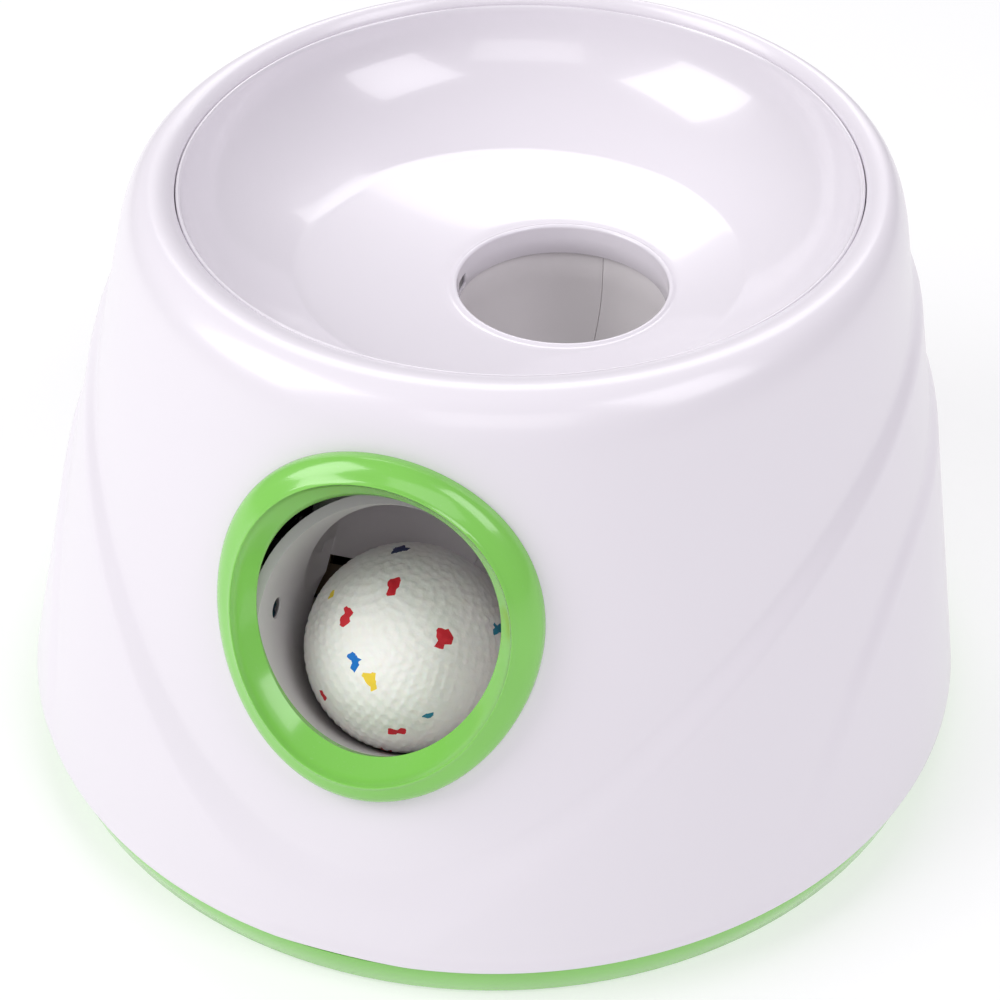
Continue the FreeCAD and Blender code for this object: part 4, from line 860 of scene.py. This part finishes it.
def make_ball():
    """Ball of foamed beads: every point sinks where two beads meet."""
    settings = bpy.context.scene.launcher_ball
    low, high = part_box("ball")
    centre = (low + high) / 2
    bm = bmesh.new()
    bmesh.ops.create_icosphere(bm, subdivisions=6, radius=1.0)
    directions = np.array([v.co[:] for v in bm.verts])
    directions /= np.linalg.norm(directions, axis=1)[:, None]
    count = settings.bead_count
    k = np.arange(count) + 0.5
    polar = np.arccos(1 - 2 * k / count)
    turn = np.pi * (1 + 5 ** 0.5) * k
    beads = np.stack([np.cos(turn) * np.sin(polar), np.sin(turn) * np.sin(polar), np.cos(polar)], 1)
    jitter = BEAD_JITTER * math.sqrt(4 / count)
    beads += np.random.default_rng(BEAD_SEED).normal(scale=jitter, size=beads.shape)
    beads /= np.linalg.norm(beads, axis=1)[:, None]
    tree = KDTree(count)
    for i, bead in enumerate(beads):
        tree.insert(bead, i)
    tree.balance()
    heights = np.zeros(len(directions))
    for i, direction in enumerate(directions):
        found = tree.find_n(Vector(direction), 2)
        edge = min((found[1][2] - found[0][2]) * BALL_RADIUS / GROOVE_WIDTH, 1.0)
        heights[i] = -settings.bead_depth * (1 - edge) ** 2
    clearance = 0.00002
    radius = BALL_RADIUS * MM - clearance + heights
    for vert, direction, size in zip(bm.verts, directions, radius):
        vert.co = centre + Vector(direction) * size
    mesh = bpy.data.meshes.new("foamed_ball")
    bm.to_mesh(mesh)
    bm.free()
    mesh.polygons.foreach_set("use_smooth", [True] * len(mesh.polygons))
    piece = new_object("foamed_ball", mesh)
    mesh.materials.append(finish_for("foam"))
    settle(piece, "ball", "ball")


def make_barrel():
    """Barrel cut off behind the ring's sleeve, with the chute, the breech plate and the striker's pad."""
    piece = softened_copy("launch_barrel", "housing", "barrel_grey", bevel=0.0)
    wide_enough = 0.06
    mouth = ellipse((PORT - WALL_NORMAL * (SLEEVE_DEPTH - 0.1)) * MM, wide_enough, wide_enough, 32)
    cut_away(piece, prism("mouth_cut", mouth, WALL_NORMAL, 0.04))
    shade_smooth(piece, 30.0)
    softened_copy("chute_left", "housing", "barrel_grey", bevel=0.2, angle=50.0)
    softened_copy("chute_right", "housing", "barrel_grey", bevel=0.2, angle=50.0)
    softened_copy("striker_cradle", "housing", "cradle_tan", bevel=0.3)
    softened_copy("striker_pad", "striker", "rubber_dark", bevel=0.4)


def make_spring():
    """Coil behind the striker, which shortens towards its seat as the striker is drawn back."""
    settings = bpy.context.scene.launcher_spring
    count = 14
    steps_per_turn = 44
    steps = int(settings.turns * steps_per_turn)
    rows = []
    for i in range(steps + 1):
        share = i / steps
        a = math.radians(90) + 2 * math.pi * settings.turns * share
        station = settings.seat - settings.free_length * share
        out = Vector((math.cos(a), 0, 0)) + UPWARD * math.sin(a)
        middle = PORT * MM + INWARD * station + out * settings.radius
        for j in range(count):
            b = 2 * math.pi * j / count
            rows.append(middle + (out * math.cos(b) + INWARD * math.sin(b)) * settings.wire / 2)
    faces = grid_faces(steps + 1, count)
    faces += [tuple(range(count)), tuple(range(steps * count + count - 1, steps * count - 1, -1))]
    piece = new_piece("coil_spring", rows, faces, "steel")
    shade_smooth(piece, 50.0)
    settle(piece, "housing", "main_spring")
    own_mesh(piece)


def make_base():
    """Base tray and battery door with broken edges."""
    softened_copy("base_tray", "housing", "green", bevel=0.3, angle=40.0)
    softened_copy("battery_door", "housing", "green", bevel=0.3)


def make_controls():
    """Rear panel with its rocker, button, lights and power inlet."""
    softened_copy("rear_panel", "housing", "panel_grey", bevel=0.5, segments=3)
    softened_copy("power_rocker", "power_rocker", "parts_black", bevel=0.5, segments=3)
    softened_copy("range_button", "range_button", "green", bevel=0.6, segments=3)
    softened_copy("range_lights", "housing", "lens_clear", bevel=0.5, segments=3)
    softened_copy("power_inlet", "housing", "parts_black", bevel=0.2)


# Fasteners and feet, placed by Geometry Nodes

def lathe(name, profile, slot_name, count):
    """Turned shape about Z from (radius, z) pairs in millimetres, ending on the axis at both ends."""
    turns = [2 * math.pi * i / count for i in range(count)]
    verts = [Vector((0, 0, profile[0][1])) * MM]
    for r, z in profile[1:-1]:
        verts += [Vector((r * math.cos(a), r * math.sin(a), z)) * MM for a in turns]
    verts.append(Vector((0, 0, profile[-1][1])) * MM)
    faces = [(0, 1 + (i + 1) % count, 1 + i) for i in range(count)]
    rings = len(profile) - 2
    for k in range(rings - 1):
        a = 1 + k * count
        b = a + count
        faces += [(a + i, a + (i + 1) % count, b + (i + 1) % count, b + i) for i in range(count)]
    a = 1 + (rings - 1) * count
    faces += [(a + i, a + (i + 1) % count, len(verts) - 1) for i in range(count)]
    return new_piece(name, verts, faces, slot_name)


def copies_tree():
    """Geometry Nodes tree that sets copies of a template on the points of the piece."""
    name = "Set copies on points"
    if name in bpy.data.node_groups:
        return bpy.data.node_groups[name]
    tree = bpy.data.node_groups.new(name, "GeometryNodeTree")
    tree.interface.new_socket("Geometry", in_out="INPUT", socket_type="NodeSocketGeometry")
    tree.interface.new_socket("Template", in_out="INPUT", socket_type="NodeSocketObject")
    spread = tree.interface.new_socket("Turn Range", in_out="INPUT", socket_type="NodeSocketFloat")
    spread.default_value = TURN_RANGE
    tree.interface.new_socket("Finish", in_out="INPUT", socket_type="NodeSocketMaterial")
    tree.interface.new_socket("Geometry", in_out="OUTPUT", socket_type="NodeSocketGeometry")
    inside = tree.nodes.new("NodeGroupInput")
    outside = tree.nodes.new("NodeGroupOutput")
    template = tree.nodes.new("GeometryNodeObjectInfo")
    place = tree.nodes.new("GeometryNodeInstanceOnPoints")
    spin = tree.nodes.new("FunctionNodeRandomValue")
    spin.data_type = "FLOAT"
    spin.inputs["Seed"].default_value = TURN_SEED
    joined = tree.nodes.new("ShaderNodeCombineXYZ")
    real = tree.nodes.new("GeometryNodeRealizeInstances")
    paint = tree.nodes.new("GeometryNodeSetMaterial")
    link = tree.links.new
    link(inside.outputs["Geometry"], place.inputs["Points"])
    link(inside.outputs["Template"], template.inputs["Object"])
    link(template.outputs["Geometry"], place.inputs["Instance"])
    link(inside.outputs["Turn Range"], spin.inputs[3])
    link(spin.outputs[1], joined.inputs["Z"])
    link(joined.outputs["Vector"], place.inputs["Rotation"])
    link(place.outputs["Instances"], real.inputs["Geometry"])
    link(real.outputs["Geometry"], paint.inputs["Geometry"])
    link(inside.outputs["Finish"], paint.inputs["Material"])
    link(paint.outputs["Geometry"], outside.inputs["Geometry"])
    return tree


def set_copies(name, template, slot_name, node_name):
    """One piece made of the template's copies, one at each solid of the node."""
    mesh = bpy.data.meshes.new(name)
    mesh.from_pydata([tuple(p) for p in solid_middles(node_name)], [], [])
    piece = new_object(name, mesh)
    tree = copies_tree()
    added = piece.modifiers.new("Copies", "NODES")
    added.node_group = tree
    values = {"Template": template, "Turn Range": TURN_RANGE, "Finish": finish_for(slot_name)}
    for item in tree.interface.items_tree:
        if item.in_out == "INPUT" and item.name in values:
            added[item.identifier] = values[item.name]
    apply_modifiers(piece)
    bpy.data.objects.remove(template)
    shade_smooth(piece, 35.0)
    settle(piece, "housing", node_name)


def solid_middles(node_name):
    """Middle of each separate solid of a node, with its lowest point."""
    bm = bmesh.new()
    bm.from_mesh(frame["nodes"][node_name].data)
    bmesh.ops.remove_doubles(bm, verts=bm.verts, dist=2e-6)
    left = set(bm.verts)
    places = []
    while left:
        stack = [left.pop()]
        group = []
        while stack:
            vert = stack.pop()
            group.append(vert.co.copy())
            for edge in vert.link_edges:
                other = edge.other_vert(vert)
                if other in left:
                    left.remove(other)
                    stack.append(other)
        xs = [p.x for p in group]
        ys = [p.y for p in group]
        lowest = min(p.z for p in group)
        places.append(Vector(((min(xs) + max(xs)) / 2, (min(ys) + max(ys)) / 2, lowest)))
    bm.free()
    return places


def cross_cut(head, size, depth):
    """Cross recess in the underside of a screw head at the origin."""
    slot = size * 0.26
    for a, b in ((size, slot), (slot, size)):
        corners = [Vector((x, y, -1)) * MM for x, y in ((a, b), (-a, b), (-a, -b), (a, -b))]
        cut_away(head, prism("recess", corners, Vector((0, 0, 1)), (1 + depth) * MM))


def make_fasteners():
    """Cross-head screws below the housing and the battery door, and the soft feet."""
    head = lathe("screw_template", HOUSING_SCREW, "steel", 40)
    cross_cut(head, 1.5, 1.0)
    set_copies("housing_screws", head, "steel", "shell_screws")
    small = lathe("small_template", DOOR_SCREW, "steel", 40)
    cross_cut(small, 1.35, 0.7)
    set_copies("battery_door_screws", small, "steel", "door_screws")
    foot = lathe("foot_template", SOFT_FOOT, "rubber_dark", 56)
    set_copies("soft_feet", foot, "rubber_dark", "rubber_feet")


def paint_nodes():
    """Every packed node gets the finish of its own slot."""
    for part in frame["record"]["subparts"]:
        obj = frame["nodes"][part["node"]]
        obj.data.materials.clear()
        obj.data.materials.append(finish_for(part["material_slot"]))


# Stage

def add_light(name, place, target, size, power, colour=(1, 1, 1)):
    """Soft rectangular light in watts that faces its target."""
    data = bpy.data.lights.new(name, "AREA")
    data.shape = "RECTANGLE"
    data.size, data.size_y = size
    data.energy = power
    data.color = colour
    lamp = new_object(name, data)
    lamp.location = place
    lamp.rotation_euler = (Vector(target) - Vector(place)).to_track_quat("-Z", "Y").to_euler()


def floor_material():
    """Near-white floor that glows a little, as under a white studio cloth."""
    made = bpy.data.materials.new("Pale studio floor")
    made.use_nodes = True
    tree = made.node_tree
    shader = tree.nodes["Principled BSDF"]
    place = node(tree, "ShaderNodeTexCoord")
    grain = place_group(tree, grain_group(), Scale=300.0, Drift_Scale=3.0)
    tree.links.new(place.outputs["Object"], grain.inputs["Vector"])
    colour = mix_colour(tree, (0.5, 0.5, 0.5), (0.48, 0.48, 0.485), grain.outputs["Drift"])
    tree.links.new(colour, shader.inputs["Base Color"])
    shader.inputs["Emission Color"].default_value = (1.0, 1.0, 1.0, 1.0)
    shader.inputs["Emission Strength"].default_value = 0.5
    shader.inputs["Roughness"].default_value = 0.7
    return made


def make_stage():
    """Floor, camera, white surroundings and four soft lights."""
    settings = bpy.context.scene.launcher_stage
    scene = bpy.context.scene
    mesh = bpy.data.meshes.new("studio_floor")
    half = 4
    corners = [(-half, -half, 0), (half, -half, 0), (half, half, 0), (-half, half, 0)]
    mesh.from_pydata(corners, [], [(0, 1, 2, 3)])
    floor = new_object("studio_floor", mesh)
    mesh.materials.append(floor_material())
    target = Vector((0, 0, 0.0625))
    a, e = settings.azimuth, settings.elevation
    direction = Vector((math.sin(a) * math.cos(e), -math.cos(a) * math.cos(e), math.sin(e)))
    data = bpy.data.cameras.new("photo_camera")
    data.sensor_width = 36.0
    data.lens = settings.focal
    data.shift_x = 0.006
    data.shift_y = -0.0357
    data.clip_start = 0.01
    camera = new_object("photo_camera", data)
    camera.location = target + direction * settings.distance
    camera.rotation_euler = (-direction).to_track_quat("-Z", "Y").to_euler()
    scene.camera = camera
    world = bpy.data.worlds.new("Studio white")
    world.use_nodes = True
    world.node_tree.nodes["Background"].inputs["Color"].default_value = (0.97, 0.95, 1.0, 1.0)
    world.node_tree.nodes["Background"].inputs["Strength"].default_value = 0.3
    scene.world = world
    add_light("key_window", (-0.95, -0.55, 0.95), (0, 0, 0.08), (0.8, 1.0), 12.0)
    add_light("top_window", (-0.15, 0.75, 1.0), (0, 0.02, 0.1), (0.9, 0.45), 4.0)
    add_light("right_window", (1.0, -0.35, 1.15), (0, 0, 0.08), (0.7, 0.9), 8.0, (0.98, 0.96, 1.0))
    add_light("front_fill", (0.25, -1.1, 0.95), (0, 0, 0.06), (0.9, 0.6), 2.6)
    scene.view_settings.view_transform = "Standard"


def step_operator(name, label, words, work):
    """Operator class that does one step of the building."""
    def execute(self, context):
        work()
        return {"FINISHED"}
    return type("LAUNCHER_OT_" + name, (bpy.types.Operator,),
                {"bl_idname": "launcher." + name, "bl_label": label, "__doc__": words, "execute": execute})


# Steps in the order they run: name, label, what it does and its function
STEP_TABLE = (
    ("stage", "Stage", "Add the camera, the lights and the floor", make_stage),
    ("finishes", "Finishes", "Give every packed node its finish", paint_nodes),
    ("housing", "Housing", "Build the glossy outer housing with its swept ledges", make_housing),
    ("port_ring", "Port Ring", "Build the rounded ring round the launch port", make_port_ring),
    ("bowl", "Bowl", "Build the glossy dish with its drop hole", make_bowl),
    ("ball", "Ball", "Build the foamed ball with its coloured chips", make_ball),
    ("barrel", "Barrel", "Finish the barrel, the chute and the breech", make_barrel),
    ("spring", "Spring", "Build the main spring that shortens with the striker", make_spring),
    ("base", "Base", "Finish the base tray and the battery door", make_base),
    ("controls", "Controls", "Finish the rear panel and its controls", make_controls),
    ("fasteners", "Fasteners", "Set the screws and the rubber feet", make_fasteners),
)
STEPS = [step_operator(*row) for row in STEP_TABLE]


class LAUNCHER_PT_panel(bpy.types.Panel):
    """Panel that lists the steps of the launcher."""

    bl_label = "Ball Launcher"
    bl_idname = "LAUNCHER_PT_panel"
    bl_space_type = "VIEW_3D"
    bl_region_type = "UI"
    bl_category = "Launcher"

    def draw(self, context):
        scene = context.scene
        for group in (getattr(scene, name) for name in SETTINGS):
            box = self.layout.box()
            for name in group.__annotations__:
                box.prop(group, name)
        for step in STEPS:
            self.layout.operator(step.bl_idname)


SETTINGS = {"launcher_housing": HousingSettings, "launcher_port": PortSettings,
            "launcher_ball": BallSettings, "launcher_spring": SpringSettings,
            "launcher_stage": StageSettings}


def register():
    for cls in list(SETTINGS.values()) + STEPS + [LAUNCHER_PT_panel]:
        bpy.utils.register_class(cls)
    for name, cls in SETTINGS.items():
        setattr(bpy.types.Scene, name, PointerProperty(type=cls))


def unregister():
    for name in SETTINGS:
        delattr(bpy.types.Scene, name)
    for cls in [LAUNCHER_PT_panel] + STEPS + list(SETTINGS.values()):
        bpy.utils.unregister_class(cls)


def main():
    register()
    for step in STEPS:
        getattr(bpy.ops.launcher, step.bl_idname.split(".")[1])()


if __name__ == "__main__":
    main()
